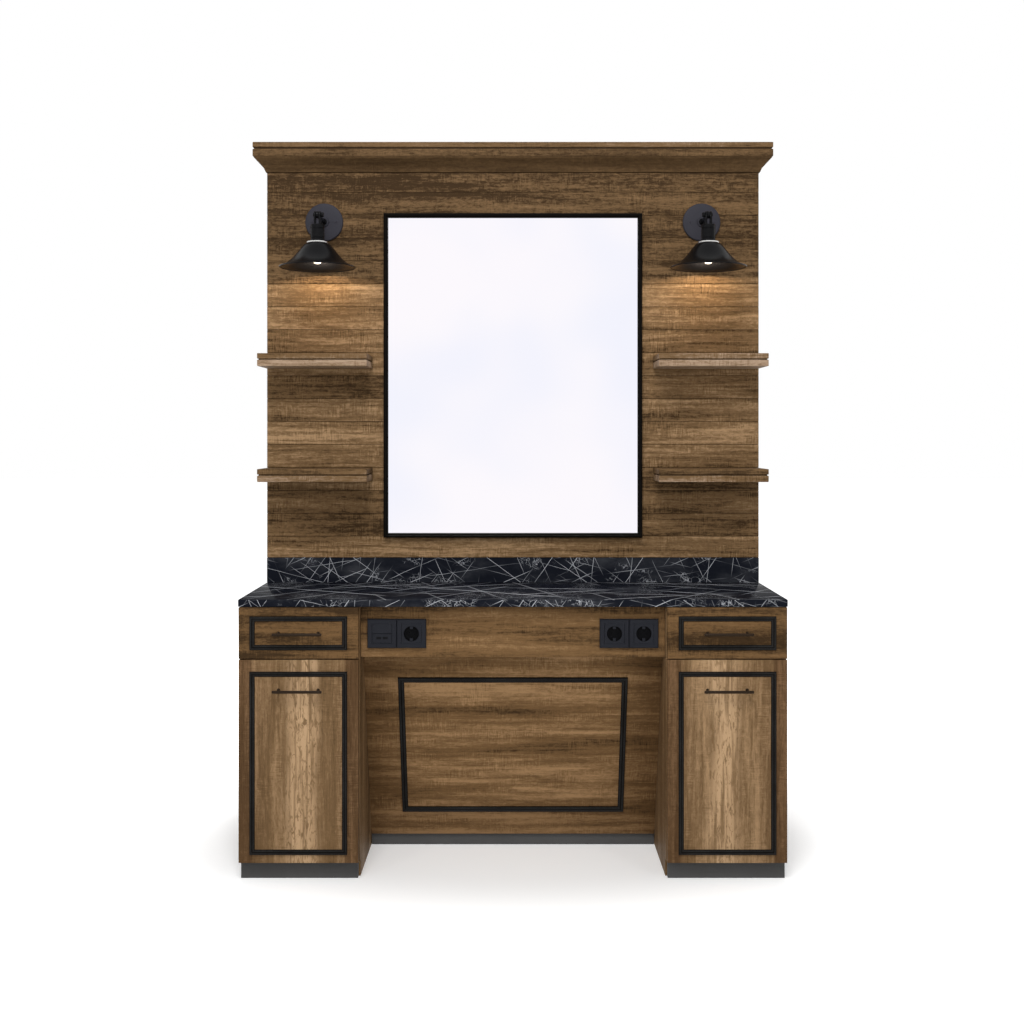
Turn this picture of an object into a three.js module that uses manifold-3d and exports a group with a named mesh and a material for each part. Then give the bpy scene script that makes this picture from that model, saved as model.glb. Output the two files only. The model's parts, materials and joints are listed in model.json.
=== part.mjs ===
// Double sided salon station: a planked mirror wall stands on a stone worktop,
// carried by two through-depth cabinets. Both faces have the same fittings.
// Millimetres, +Z up, origin on the floor under the middle. The front faces -Y.
import * as THREE from "three";
import { mergeVertices } from "three/addons/utils/BufferGeometryUtils.js";
import Module from "manifold-3d";

const wasm = await Module();
wasm.setup();

// How far joined solids run into each other and cutters run past a face
const LAP = 1;

// Overall sizes
const STATION_WIDTH = 1500;
const WORKTOP_TOP = 770;
const WALL_HEIGHT = 1250;
const WORKTOP_REACH = 400;

// Worktop and splashback
const WORKTOP_THICK = 20;
const SPLASH_HEIGHT = 75;
const SPLASH_PROUD = 2;

// Mirror wall
const CORE_THICK = 44;
const PLANK_THICK = 18;
const PLANK_PITCH = 70;
const FIRST_PLANK = 65;
const PLANK_GROOVE_WIDTH = 3;
const PLANK_GROOVE_DEPTH = 3;

// Cornice
const CORNICE_OVERHANG = 37;
const COVE_HEIGHT = 42;
const COVE_FILLET = 8;
const COVE_STEP = 3;
const HOLLOW_HEIGHT_SHARE = 0.62;
const HOLLOW_REACH_SHARE = 0.6;
const HOLLOW_SAG_SHARE = 0.38;
const CORNICE_BOARD = 22;
const CORNICE_GROOVE = 5;
const CORNICE_GROOVE_DEPTH = 4;
const CORNICE_TOP_BOARD = 16;
const TENON_THICK = 24;
const TENON_INSET = 30;
const TENON_CLEARANCE = 1;

// Mirror
const MIRROR_WIDTH = 786;
const MIRROR_HEIGHT = 986;
const MIRROR_OVER_WORKTOP = 137;
const MIRROR_FACE = 13;
const MIRROR_PROUD = 20;
const GLASS_THICK = 10;
const FIT_CLEARANCE = 0.3;

// Shelves
const SHELF_LENGTH = 322;
const SHELF_DEPTH = 150;
const SHELF_LOWER_BOARD = 19;
const SHELF_GROOVE = 3;
const SHELF_UPPER_BOARD = 16;
const SHELF_GROOVE_DEPTH = 3;
const SHELF_HEIGHTS = { upper: 651, lower: 311 };

// Cabinets
const CABINET_WIDTH = 330;
const BOARD = 18;
const FRONT_THICK = 18;
const FRONT_GAP = 3;
const EDGE_GAP = 1.5;
const BUFFER_GAP = 1;
const RAIL_DEPTH = 70;
const PLINTH_HEIGHT = 50;
const PLINTH_SETBACK = 30;
const PLINTH_INSET = 2;
const PLINTH_INNER_INSET = 6;

// Drawers
const DRAWER_FRONT_HEIGHT = 140;
const DRAWER_DEPTH = 360;
const DRAWER_SIDE_HEIGHT = 86;
const DRAWER_WALL = 12;
const DRAWER_BASE = 6;
const RUNNER_SPACE = 13;
const RUNNER_LEDGE = 10;
const RUNNER_HEIGHT = 12;
const RUNNER_OVER_BOARD = 8;

// Tilt-out towel bins
const BIN_WALL = 9;
const BIN_SIDE_GAP = 6;
const BIN_DEPTH = 230;
const BIN_FLOOR_GAP = 8;
const BIN_BACK_BELOW_BOARD = 163;
const BIN_FRONT_BELOW_BOARD = 73;
const PIVOT_RADIUS = 4;
const PIVOT_CLEARANCE = 0.3;
const PIVOT_BEHIND_FRONT = 10;
const PIVOT_OVER_PLINTH = 10;
const PIVOT_EAR = 10;
const BIN_FOOT_RELIEF = 10.5;
const FLOOR_SETBACK = 27;

// Applied mouldings on drawers, bins and knee panels
const MOULD_LENGTH = 266;
const MOULD_WIDTH = 14;
const MOULD_PROUD = 6;
const DRAWER_MOULD_HEIGHT = 92;
const BIN_MOULD_BELOW_EDGE = 32;
const BIN_MOULD_OVER_EDGE = 23;
const KNEE_MOULD_LENGTH = 650;
const KNEE_MOULD_HEIGHT = 450;
const KNEE_MOULD_WIDTH = 17;
const KNEE_MOULD_BELOW_TOP = 76;

// Bar handles
const HANDLE_LENGTH = 134;
const HANDLE_RADIUS = 5;
const HANDLE_POST_RADIUS = 4;
const HANDLE_POST_SPACING = 108;
const HANDLE_REACH = 28;
const BIN_HANDLE_BELOW_MOULD = 50;

// Apron, knee panel and sockets
const APRON_HEIGHT = 144;
const APRON_RECESS = 40;
const KNEE_TOP_RECESS = 98;
const KNEE_FOOT_RECESS = 300;
const KNEE_BOARD = 18;
const SOFFIT_THICK = 12;
const KICK_HEIGHT = 35;
const KICK_RECESS = 310;
const KICK_LAP = 10;
const SOCKET_OFFSET = 320;
const SOCKET_BELOW_WORKTOP = 78;
const SOCKET_SIZE = 80;
const SOCKET_PITCH = 82;
const SOCKET_THICK = 10;
const SOCKET_BRIDGE = 8;
const SOCKET_CUP_RADIUS = 20;
const SOCKET_CUP_DEPTH = 8;
const DATA_SLOT_WIDTH = 37;
const DATA_SLOT_HEIGHT = 13;
const DATA_SLOT_DEPTH = 6;
const DATA_SLOT_DROP = 12;

// Wall lamps
const LAMP_OFFSET = 575;
const LAMP_OVER_WORKTOP = 1097;
const LAMP_PLATE_RADIUS = 57.5;
const LAMP_PLATE_THICK = 10;
const LAMP_REACH = 135;
const LAMP_ARM_RADIUS = 6;
const LAMP_EYE_RADIUS = 10;
const LAMP_EYE_THICK = 8;
const LAMP_EYE_NECK = 14;
const LAMP_CHEEK_THICK = 5;
const LAMP_CHEEK_GAP = 0.5;
const LAMP_PIN_RADIUS = 3;
const LAMP_KNOB_RADIUS = 7;
const LAMP_KNOB_LENGTH = 9;
const LAMP_HOLDER_DROP = 29;
const LAMP_HOLDER_RADIUS = 20.5;
const LAMP_HOLDER_HEIGHT = 50;
const LAMP_COLLAR_RADIUS = 32;
const LAMP_COLLAR_HEIGHT = 5;
const LAMP_SHADE_TOP_RADIUS = 34;
const LAMP_SHADE_RADIUS = 112;
const LAMP_SHADE_HEIGHT = 72;
const LAMP_SHADE_WALL = 2;
const LAMP_SHADE_FLARE = 1.75;
const LAMP_SHADE_STEPS = 6;
const LAMP_SOCKET_RADIUS = 14;
const LAMP_SOCKET_DEPTH = 22;
const BULB_RADIUS = 24;
const BULB_NECK = 6;
const BULB_OVER_RIM = 7;
const BULB_STEPS = 6;

// Sides of round shapes
const SHADE_SIDES = 22;
const BULB_SIDES = 12;
const PLATE_SIDES = 24;
const ROD_SIDES = 10;

// Places worked out from the sizes above
const HALF_WIDTH = STATION_WIDTH / 2;
const WALL_FACE = CORE_THICK / 2 + PLANK_THICK;
const WORKTOP_FRONT = WALL_FACE + WORKTOP_REACH;
const CABINET_TOP = WORKTOP_TOP - WORKTOP_THICK;
const CABINET_INNER = HALF_WIDTH - CABINET_WIDTH;
const CABINET_MIDDLE = HALF_WIDTH - CABINET_WIDTH / 2;
const FRONT_BACK = WORKTOP_FRONT - FRONT_THICK;
const CARCASS_FRONT = FRONT_BACK - BUFFER_GAP;
const PLINTH_FRONT = WORKTOP_FRONT - PLINTH_SETBACK;
const WALL_TOP = WORKTOP_TOP + WALL_HEIGHT;
const SPLASH_TOP = WORKTOP_TOP + SPLASH_HEIGHT;
const DRAWER_FRONT_TOP = CABINET_TOP - EDGE_GAP;
const DRAWER_FRONT_FOOT = DRAWER_FRONT_TOP - DRAWER_FRONT_HEIGHT;
const BIN_FRONT_TOP = DRAWER_FRONT_FOOT - FRONT_GAP;
const BIN_FRONT_FOOT = PLINTH_HEIGHT + EDGE_GAP;
const DRAWER_BOARD_TOP = DRAWER_FRONT_FOOT - FRONT_GAP / 2;
const DRAWER_BOARD_FOOT = DRAWER_BOARD_TOP - BOARD;
const RUNNER_FOOT = DRAWER_BOARD_TOP + RUNNER_OVER_BOARD;
const DRAWER_FOOT = RUNNER_FOOT + RUNNER_HEIGHT + FIT_CLEARANCE;
const DRAWER_MOULD_MIDDLE = (DRAWER_FRONT_TOP + DRAWER_FRONT_FOOT) / 2;
const BIN_MOULD_FOOT = BIN_FRONT_FOOT + BIN_MOULD_OVER_EDGE;
const BIN_MOULD_TOP = BIN_FRONT_TOP - BIN_MOULD_BELOW_EDGE;
const BIN_HANDLE_HEIGHT = BIN_MOULD_TOP - BIN_HANDLE_BELOW_MOULD;
const BIN_BACK_TOP = DRAWER_BOARD_FOOT - BIN_BACK_BELOW_BOARD;
const BIN_CHEEK_TOP = DRAWER_BOARD_FOOT - BIN_FRONT_BELOW_BOARD;
const BIN_FLOOR = PLINTH_HEIGHT + BOARD + BIN_FLOOR_GAP;
const PIVOT_BACK = FRONT_BACK - PIVOT_BEHIND_FRONT;
const PIVOT_HEIGHT = PLINTH_HEIGHT + PIVOT_OVER_PLINTH;
const APRON_FRONT = WORKTOP_FRONT - APRON_RECESS;
const APRON_FOOT = CABINET_TOP - APRON_HEIGHT;
const LAMP_HEIGHT = WORKTOP_TOP + LAMP_OVER_WORKTOP;
const LAMP_PIVOT = WALL_FACE + LAMP_REACH;
const SOCKET_HEIGHT = CABINET_TOP - SOCKET_BELOW_WORKTOP;

// Finishes
const finish = (color, roughness, metalness = 0) =>
  new THREE.MeshStandardMaterial({ color, roughness, metalness });
const WOOD = finish(0x6e553a, 0.6);
const STONE = finish(0x17171c, 0.15);
const LACQUER = finish(0x151515, 0.4);
const PLINTH_GREY = finish(0x484848, 0.55);
const SILVERED = finish(0xe6e6ea, 0.05, 1);
const BLACK_METAL = finish(0x1a1b1d, 0.35, 0.6);
const BULB_GLASS = finish(0xfff2dc, 0.3);
const BLACK_PLASTIC = finish(0x232427, 0.45);

// A closed solid from a geometry, with its shared vertices merged
function solidOf(geometry) {
  geometry.deleteAttribute("normal");
  geometry.deleteAttribute("uv");
  const welded = mergeVertices(geometry);
  return new wasm.Manifold(new wasm.Mesh({
    numProp: 3,
    vertProperties: welded.getAttribute("position").array,
    triVerts: Uint32Array.from(welded.index.array),
  }));
}

// A box between two limits on each axis
function block([x0, x1], [y0, y1], [z0, z1]) {
  const box = new THREE.BoxGeometry(x1 - x0, y1 - y0, z1 - z0);
  return solidOf(box.translate((x0 + x1) / 2, (y0 + y1) / 2, (z0 + z1) / 2));
}

// A round bar along one axis, between two limits, through a point
function rod(axis, radius, [from, to], through, sides = ROD_SIDES) {
  const bar = new THREE.CylinderGeometry(radius, radius, to - from, sides);
  if (axis === "x") bar.rotateZ(-Math.PI / 2);
  if (axis === "z") bar.rotateX(Math.PI / 2);
  const middle = { ...through, [axis]: (from + to) / 2 };
  return solidOf(bar.translate(middle.x, middle.y, middle.z));
}

// An outline drawn on two axes and drawn out along the third
function prism(axis, outline, [from, to]) {
  const shape = new THREE.Shape(outline.map(([u, v]) => new THREE.Vector2(u, v)));
  const solid = new THREE.ExtrudeGeometry(shape, { depth: to - from, bevelEnabled: false });
  const place = new THREE.Matrix4();
  const X = new THREE.Vector3(1, 0, 0);
  const Y = new THREE.Vector3(0, 1, 0);
  const Z = new THREE.Vector3(0, 0, 1);
  if (axis === "x") place.makeBasis(Y, Z, X).setPosition(from, 0, 0);
  if (axis === "y") place.makeBasis(X, Z, Y.negate()).setPosition(0, to, 0);
  return solidOf(solid.applyMatrix4(place));
}

// A profile of [radius, height] turned about an upright axis
function turned(profile, { x, y }, sides) {
  const points = profile.map(([radius, height]) => new THREE.Vector2(radius, height));
  const round = new THREE.LatheGeometry(points, sides);
  return solidOf(round.rotateX(Math.PI / 2).translate(x, y, 0));
}

// A slab whose edges follow one profile of [overhang, height], mitred at its corners
function mitred([x0, x1], [y0, y1], profile, backShare) {
  const down = [...profile].reverse();
  const alongX = [
    ...profile.map(([out, z]) => [y0 - out, z]),
    ...down.map(([out, z]) => [y1 + out * backShare, z]),
  ];
  const alongY = [
    ...profile.map(([out, z]) => [x0 - out, z]),
    ...down.map(([out, z]) => [x1 + out, z]),
  ];
  const reach = Math.max(...profile.map(([out]) => out)) + LAP;
  const lengthwise = prism("x", alongX, [x0 - reach, x1 + reach]);
  return lengthwise.intersect(prism("y", alongY, [y0 - reach, y1 + reach]));
}

const joined = (...solids) => solids.reduce((whole, next) => whole.add(next));
const around = (middle, size) => [middle - size / 2, middle + size / 2];
const bothWays = (half) => [-half, half];
const outward = (side, [near, far]) => (side < 0 ? [-far, -near] : [near, far]);

// A mitred rectangular moulding lying on a front, seen along Y
function moulding(xs, zs, width, [y0, y1]) {
  const inner = ([low, high]) => [low + width, high - width];
  const hole = block(inner(xs), [y0 - LAP, y1 + LAP], inner(zs));
  return block(xs, [y0, y1], zs).subtract(hole);
}

function addPiece(group, name, solid, material) {
  const { vertProperties, triVerts } = solid.getMesh();
  const geometry = new THREE.BufferGeometry();
  geometry.setAttribute("position", new THREE.BufferAttribute(vertProperties, 3));
  geometry.setIndex(new THREE.BufferAttribute(triVerts, 1));
  const mesh = new THREE.Mesh(geometry, material);
  mesh.name = name;
  group.add(mesh);
}

// Core board of the mirror wall, with a narrower tenon up into the cornice
function spineCore() {
  const board = block(bothWays(HALF_WIDTH), bothWays(CORE_THICK / 2), [WORKTOP_TOP, WALL_TOP]);
  const tenon = block(
    bothWays(HALF_WIDTH - TENON_INSET),
    bothWays(TENON_THICK / 2),
    [WALL_TOP - LAP, WALL_TOP + COVE_HEIGHT],
  );
  return board.add(tenon);
}

// Cove ring around the top of the wall: a fillet, a hollow and a small step under the boards
function corniceMoulding() {
  const hollowTop = WALL_TOP + COVE_HEIGHT * HOLLOW_HEIGHT_SHARE;
  const hollowOut = CORNICE_OVERHANG * HOLLOW_REACH_SHARE;
  const profile = [
    [COVE_FILLET - COVE_STEP, WALL_TOP],
    [COVE_FILLET, WALL_TOP + COVE_STEP],
    [COVE_FILLET + (hollowOut - COVE_FILLET) * HOLLOW_SAG_SHARE, (WALL_TOP + hollowTop) / 2],
    [hollowOut, hollowTop],
    [hollowOut + COVE_STEP, hollowTop],
    [CORNICE_OVERHANG - COVE_STEP, WALL_TOP + COVE_HEIGHT],
  ];
  const whole = mitred(bothWays(HALF_WIDTH), bothWays(WALL_FACE), profile, 1);
  const mortise = block(
    bothWays(HALF_WIDTH - TENON_INSET + TENON_CLEARANCE),
    bothWays(TENON_THICK / 2 + TENON_CLEARANCE),
    [WALL_TOP - LAP, WALL_TOP + COVE_HEIGHT + LAP],
  );
  return whole.subtract(mortise);
}

// Two boards with a shadow groove between them
function corniceTop() {
  const foot = WALL_TOP + COVE_HEIGHT;
  const groove = foot + CORNICE_BOARD;
  const top = groove + CORNICE_GROOVE;
  const inside = CORNICE_OVERHANG - CORNICE_GROOVE_DEPTH;
  const profile = [
    [CORNICE_OVERHANG, foot],
    [CORNICE_OVERHANG, groove],
    [inside, groove],
    [inside, top],
    [CORNICE_OVERHANG, top],
    [CORNICE_OVERHANG, top + CORNICE_TOP_BOARD],
  ];
  return mitred(bothWays(HALF_WIDTH), bothWays(WALL_FACE), profile, 1);
}

// Inner side of a cabinet, which stands on the floor and is notched for the plinth on both faces
function innerSide(side) {
  const xs = outward(side, [CABINET_INNER, CABINET_INNER + BOARD]);
  const board = block(xs, bothWays(CARCASS_FRONT), [0, CABINET_TOP]);
  const notches = [-1, 1].map((face) => block(
    [xs[0] - LAP, xs[1] + LAP],
    outward(face, [PLINTH_FRONT - BOARD, CARCASS_FRONT + LAP]),
    [-LAP, PLINTH_HEIGHT],
  ));
  return board.subtract(joined(...notches));
}

// Through-depth cabinet: two sides, floor, middle wall and, for each face,
// a board under the drawer, a top rail, drawer runners and the bin's pivot pins
function carcass(side) {
  const housed = BOARD / 2;
  const inside = outward(side, [CABINET_INNER + housed, HALF_WIDTH - housed]);
  const depth = bothWays(CARCASS_FRONT);
  const innerFace = CABINET_INNER + BOARD;
  const outerFace = HALF_WIDTH - BOARD;
  const floor = [PLINTH_HEIGHT, PLINTH_HEIGHT + BOARD];
  let whole = joined(
    block(outward(side, [outerFace, HALF_WIDTH]), depth, [PLINTH_HEIGHT, CABINET_TOP]),
    innerSide(side),
    block(inside, bothWays(CARCASS_FRONT - FLOOR_SETBACK), floor),
    block(inside, bothWays(BOARD / 2), [PLINTH_HEIGHT, CABINET_TOP]),
  );
  const runnerEnds = [BOARD / 2 + RUNNER_SPACE, CARCASS_FRONT - BUFFER_GAP];
  const runnerHeights = [RUNNER_FOOT, RUNNER_FOOT + RUNNER_HEIGHT];
  const ledge = RUNNER_SPACE + RUNNER_LEDGE;
  const pinReach = BIN_SIDE_GAP + BIN_WALL;
  const drawerBoard = [DRAWER_BOARD_FOOT, DRAWER_BOARD_TOP];
  const rail = [CABINET_TOP - BOARD, CABINET_TOP];
  for (const face of [-1, 1]) {
    const pivot = { y: face * PIVOT_BACK, z: PIVOT_HEIGHT };
    const runners = outward(face, runnerEnds);
    whole = joined(
      whole,
      block(inside, outward(face, [0, CARCASS_FRONT]), drawerBoard),
      block(inside, outward(face, [CARCASS_FRONT - RAIL_DEPTH, CARCASS_FRONT]), rail),
      block(outward(side, [innerFace - housed, innerFace + ledge]), runners, runnerHeights),
      block(outward(side, [outerFace - ledge, outerFace + housed]), runners, runnerHeights),
      rod("x", PIVOT_RADIUS, outward(side, [innerFace - housed, innerFace + pinReach]), pivot),
      rod("x", PIVOT_RADIUS, outward(side, [outerFace - pinReach, outerFace + housed]), pivot),
    );
  }
  return whole;
}

// Plinth under a cabinet: two set-back fronts and a return along the outer side
function plinth(side) {
  const outer = HALF_WIDTH - PLINTH_INSET;
  const across = outward(side, [CABINET_INNER + PLINTH_INNER_INSET, outer]);
  const heights = [0, PLINTH_HEIGHT];
  const fronts = [PLINTH_FRONT - BOARD, PLINTH_FRONT];
  return joined(
    block(outward(side, [outer - BOARD, outer]), bothWays(PLINTH_FRONT), heights),
    ...[-1, 1].map((face) => block(across, outward(face, fronts), heights)),
  );
}

// Horizontal planks as one cladding board with grooves between them
function plankPanel() {
  const outline = [[-CORE_THICK / 2, SPLASH_TOP], [-WALL_FACE, SPLASH_TOP]];
  const half = PLANK_GROOVE_WIDTH / 2;
  for (let seam = SPLASH_TOP + FIRST_PLANK; seam < WALL_TOP - half - LAP; seam += PLANK_PITCH) {
    outline.push(
      [-WALL_FACE, seam - half],
      [-WALL_FACE + PLANK_GROOVE_DEPTH, seam],
      [-WALL_FACE, seam + half],
    );
  }
  outline.push([-WALL_FACE, WALL_TOP], [-CORE_THICK / 2, WALL_TOP]);
  return prism("x", outline.reverse(), bothWays(HALF_WIDTH));
}

const MIRROR_FOOT = WORKTOP_TOP + MIRROR_OVER_WORKTOP;
const MIRROR_ZS = [MIRROR_FOOT, MIRROR_FOOT + MIRROR_HEIGHT];

function mirrorFrame() {
  const depth = [-WALL_FACE - MIRROR_PROUD, -WALL_FACE];
  return moulding(bothWays(MIRROR_WIDTH / 2), MIRROR_ZS, MIRROR_FACE, depth);
}

function mirrorGlass() {
  const edge = MIRROR_FACE + FIT_CLEARANCE;
  const heights = [MIRROR_ZS[0] + edge, MIRROR_ZS[1] - edge];
  return block(bothWays(MIRROR_WIDTH / 2 - edge), [-WALL_FACE - GLASS_THICK, -WALL_FACE], heights);
}

function splashback() {
  const depth = [-WALL_FACE - SPLASH_PROUD, -CORE_THICK / 2];
  return block(bothWays(HALF_WIDTH), depth, [WORKTOP_TOP, SPLASH_TOP]);
}

function apron() {
  const depth = [-APRON_FRONT, -APRON_FRONT + BOARD];
  return block(bothWays(CABINET_INNER), depth, [APRON_FOOT, CABINET_TOP]);
}

// Slanted board that leans back towards the floor, with its moulding, soffit and floor kick
function kneePanel() {
  const top = -WORKTOP_FRONT + KNEE_TOP_RECESS;
  const foot = -WORKTOP_FRONT + KNEE_FOOT_RECESS;
  const drop = APRON_FOOT - KICK_HEIGHT;
  const slope = Math.atan2(foot - top, drop);
  const across = KNEE_BOARD / Math.cos(slope);
  const outline = [
    [top, APRON_FOOT],
    [foot, KICK_HEIGHT],
    [foot + across, KICK_HEIGHT],
    [top + across, APRON_FOOT],
  ];
  const board = prism("x", outline, bothWays(CABINET_INNER));
  const kickFront = -WORKTOP_FRONT + KICK_RECESS;
  const kick = block(
    bothWays(CABINET_INNER),
    [kickFront, kickFront + BOARD],
    [0, KICK_HEIGHT + KICK_LAP],
  );
  const soffit = block(
    bothWays(CABINET_INNER),
    [-APRON_FRONT + BOARD, top + across],
    [APRON_FOOT, APRON_FOOT + SOFFIT_THICK],
  );
  const middle = -KNEE_MOULD_BELOW_TOP - KNEE_MOULD_HEIGHT / 2;
  const mould = moulding(
    bothWays(KNEE_MOULD_LENGTH / 2),
    around(middle, KNEE_MOULD_HEIGHT),
    KNEE_MOULD_WIDTH,
    [-MOULD_PROUD, LAP],
  );
  const leaning = mould.rotate([THREE.MathUtils.radToDeg(slope), 0, 0]).translate([0, top, APRON_FOOT]);
  return joined(board, kick, soffit, leaning);
}

// Two boards with a shadow groove on the front and both ends
function shelf(side, overWorktop) {
  const foot = WORKTOP_TOP + overWorktop;
  const groove = foot + SHELF_LOWER_BOARD;
  const upper = groove + SHELF_GROOVE;
  const profile = [
    [0, foot],
    [0, groove],
    [-SHELF_GROOVE_DEPTH, groove],
    [-SHELF_GROOVE_DEPTH, upper],
    [0, upper],
    [0, upper + SHELF_UPPER_BOARD],
  ];
  const xs = outward(side, [HALF_WIDTH - SHELF_LENGTH, HALF_WIDTH]);
  return mitred(xs, [-WALL_FACE - SHELF_DEPTH, -WALL_FACE], profile, 0);
}

// Wall plate, straight arm and an eye for the head's pin
function lampBracket(side) {
  const x = side * LAMP_OFFSET;
  const through = { x, z: LAMP_HEIGHT };
  const pivot = { y: -LAMP_PIVOT, z: LAMP_HEIGHT };
  const eyeWidth = around(x, LAMP_EYE_THICK);
  const eyeHeight = around(LAMP_HEIGHT, 2 * LAMP_EYE_RADIUS);
  const plateFront = -WALL_FACE - LAMP_PLATE_THICK;
  const neck = -LAMP_PIVOT + LAMP_EYE_NECK;
  const whole = joined(
    rod("y", LAMP_PLATE_RADIUS, [plateFront, -WALL_FACE], through, PLATE_SIDES),
    rod("y", LAMP_ARM_RADIUS, [neck, plateFront + LAP], through),
    block(eyeWidth, [-LAMP_PIVOT, neck + LAP], eyeHeight),
    rod("x", LAMP_EYE_RADIUS, eyeWidth, pivot),
  );
  const bore = rod("x", LAMP_PIN_RADIUS + PIVOT_CLEARANCE, around(x, 2 * LAMP_EYE_THICK), pivot);
  return whole.subtract(bore);
}

// Radius of the shade at a share of its height, from the collar (0) to the rim (1)
function shadeRadius(share) {
  const flare = share + (share ** LAMP_SHADE_FLARE - share) * share;
  return LAMP_SHADE_TOP_RADIUS + (LAMP_SHADE_RADIUS - LAMP_SHADE_TOP_RADIUS) * flare;
}

const HOLDER_TOP = LAMP_HEIGHT - LAMP_HOLDER_DROP;
const COLLAR_TOP = HOLDER_TOP - LAMP_HOLDER_HEIGHT;
const SHADE_TOP = COLLAR_TOP - LAMP_COLLAR_HEIGHT;
const SHADE_RIM = SHADE_TOP - LAMP_SHADE_HEIGHT;

// Clevis, pin and thumbscrew, holder, collar and flared shade, with a socket for the bulb
function lampHead(side) {
  const x = side * LAMP_OFFSET;
  const pivot = { y: -LAMP_PIVOT, z: LAMP_HEIGHT };
  const shares = Array.from({ length: LAMP_SHADE_STEPS + 1 }, (_, step) => step / LAMP_SHADE_STEPS);
  const outside = shares.map((share) => [shadeRadius(share), SHADE_TOP - share * LAMP_SHADE_HEIGHT]);
  const inside = shares.map((share) => [
    shadeRadius(share) - LAMP_SHADE_WALL,
    SHADE_TOP - LAMP_SHADE_WALL - share * (LAMP_SHADE_HEIGHT - LAMP_SHADE_WALL),
  ]);
  const socketTop = COLLAR_TOP - LAMP_COLLAR_HEIGHT - LAMP_SHADE_WALL + LAMP_SOCKET_DEPTH;
  const profile = [
    [0, HOLDER_TOP],
    [LAMP_HOLDER_RADIUS, HOLDER_TOP],
    [LAMP_HOLDER_RADIUS, COLLAR_TOP],
    [LAMP_COLLAR_RADIUS, COLLAR_TOP],
    [LAMP_COLLAR_RADIUS, SHADE_TOP],
    ...outside,
    ...inside.reverse(),
    [LAMP_SOCKET_RADIUS, SHADE_TOP - LAMP_SHADE_WALL],
    [LAMP_SOCKET_RADIUS, socketTop],
    [0, socketTop],
  ];
  const inner = LAMP_EYE_THICK / 2 + LAMP_CHEEK_GAP;
  const outer = inner + LAMP_CHEEK_THICK;
  const cheekDepth = around(-LAMP_PIVOT, 2 * LAMP_EYE_RADIUS);
  const cheeks = [[-outer, -inner], [inner, outer]].map(([from, to]) => joined(
    rod("x", LAMP_EYE_RADIUS, [x + from, x + to], pivot),
    block([x + from, x + to], cheekDepth, [HOLDER_TOP - LAP, LAMP_HEIGHT]),
  ));
  const knob = outward(-side, [outer - LAP, outer + LAMP_KNOB_LENGTH]);
  return joined(
    turned(profile.reverse(), { x, y: -LAMP_PIVOT }, SHADE_SIDES),
    ...cheeks,
    rod("x", LAMP_PIN_RADIUS, [x - outer, x + outer], pivot),
    rod("x", LAMP_KNOB_RADIUS, [x + knob[0], x + knob[1]], pivot),
  );
}

// Globe bulb whose base sits in the holder's socket
function lampBulb(side) {
  const baseRadius = LAMP_SOCKET_RADIUS - FIT_CLEARANCE;
  const baseTop = SHADE_TOP - LAMP_SHADE_WALL + LAMP_SOCKET_DEPTH - FIT_CLEARANCE;
  const globeMiddle = SHADE_RIM + BULB_OVER_RIM + BULB_RADIUS;
  const neckTop = SHADE_TOP - LAMP_SHADE_WALL - BULB_NECK;
  const start = Math.acos(baseRadius / BULB_RADIUS);
  const globe = Array.from({ length: BULB_STEPS }, (_, step) => {
    const angle = start - (start + Math.PI / 2) * (step / BULB_STEPS);
    return [BULB_RADIUS * Math.cos(angle), globeMiddle + BULB_RADIUS * Math.sin(angle)];
  });
  const profile = [
    [0, baseTop],
    [baseRadius, baseTop],
    [baseRadius, neckTop],
    ...globe,
    [0, globeMiddle - BULB_RADIUS],
  ];
  return turned(profile.reverse(), { x: side * LAMP_OFFSET, y: -LAMP_PIVOT }, BULB_SIDES);
}

// Pair of outlet frames on one carrier: earthed sockets have a round cup, the data outlet a slot
function socketPlate(side) {
  const middle = side * SOCKET_OFFSET;
  const depth = [-APRON_FRONT - SOCKET_THICK, -APRON_FRONT];
  const heights = around(SOCKET_HEIGHT, SOCKET_SIZE);
  let whole = block(around(middle, SOCKET_PITCH), [depth[1] - SOCKET_BRIDGE, depth[1]], heights);
  for (const step of [-1, 1]) {
    const x = middle + step * SOCKET_PITCH / 2;
    whole = whole.add(block(around(x, SOCKET_SIZE), depth, heights));
    const isData = side < 0 && step < 0;
    const slot = block(
      around(x, DATA_SLOT_WIDTH),
      [depth[0] - LAP, depth[0] + DATA_SLOT_DEPTH],
      around(SOCKET_HEIGHT - DATA_SLOT_DROP, DATA_SLOT_HEIGHT),
    );
    const cupDepth = [depth[0] - LAP, depth[0] + SOCKET_CUP_DEPTH];
    const cup = () => rod("y", SOCKET_CUP_RADIUS, cupDepth, { x, z: SOCKET_HEIGHT }, PLATE_SIDES);
    whole = whole.subtract(isData ? slot : cup());
  }
  return whole;
}

const FRONT_XS = [CABINET_INNER + EDGE_GAP, HALF_WIDTH - EDGE_GAP];
const FRONT_YS = [-WORKTOP_FRONT, -FRONT_BACK];
const MOULD_YS = [-WORKTOP_FRONT - MOULD_PROUD, -WORKTOP_FRONT + LAP];

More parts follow.
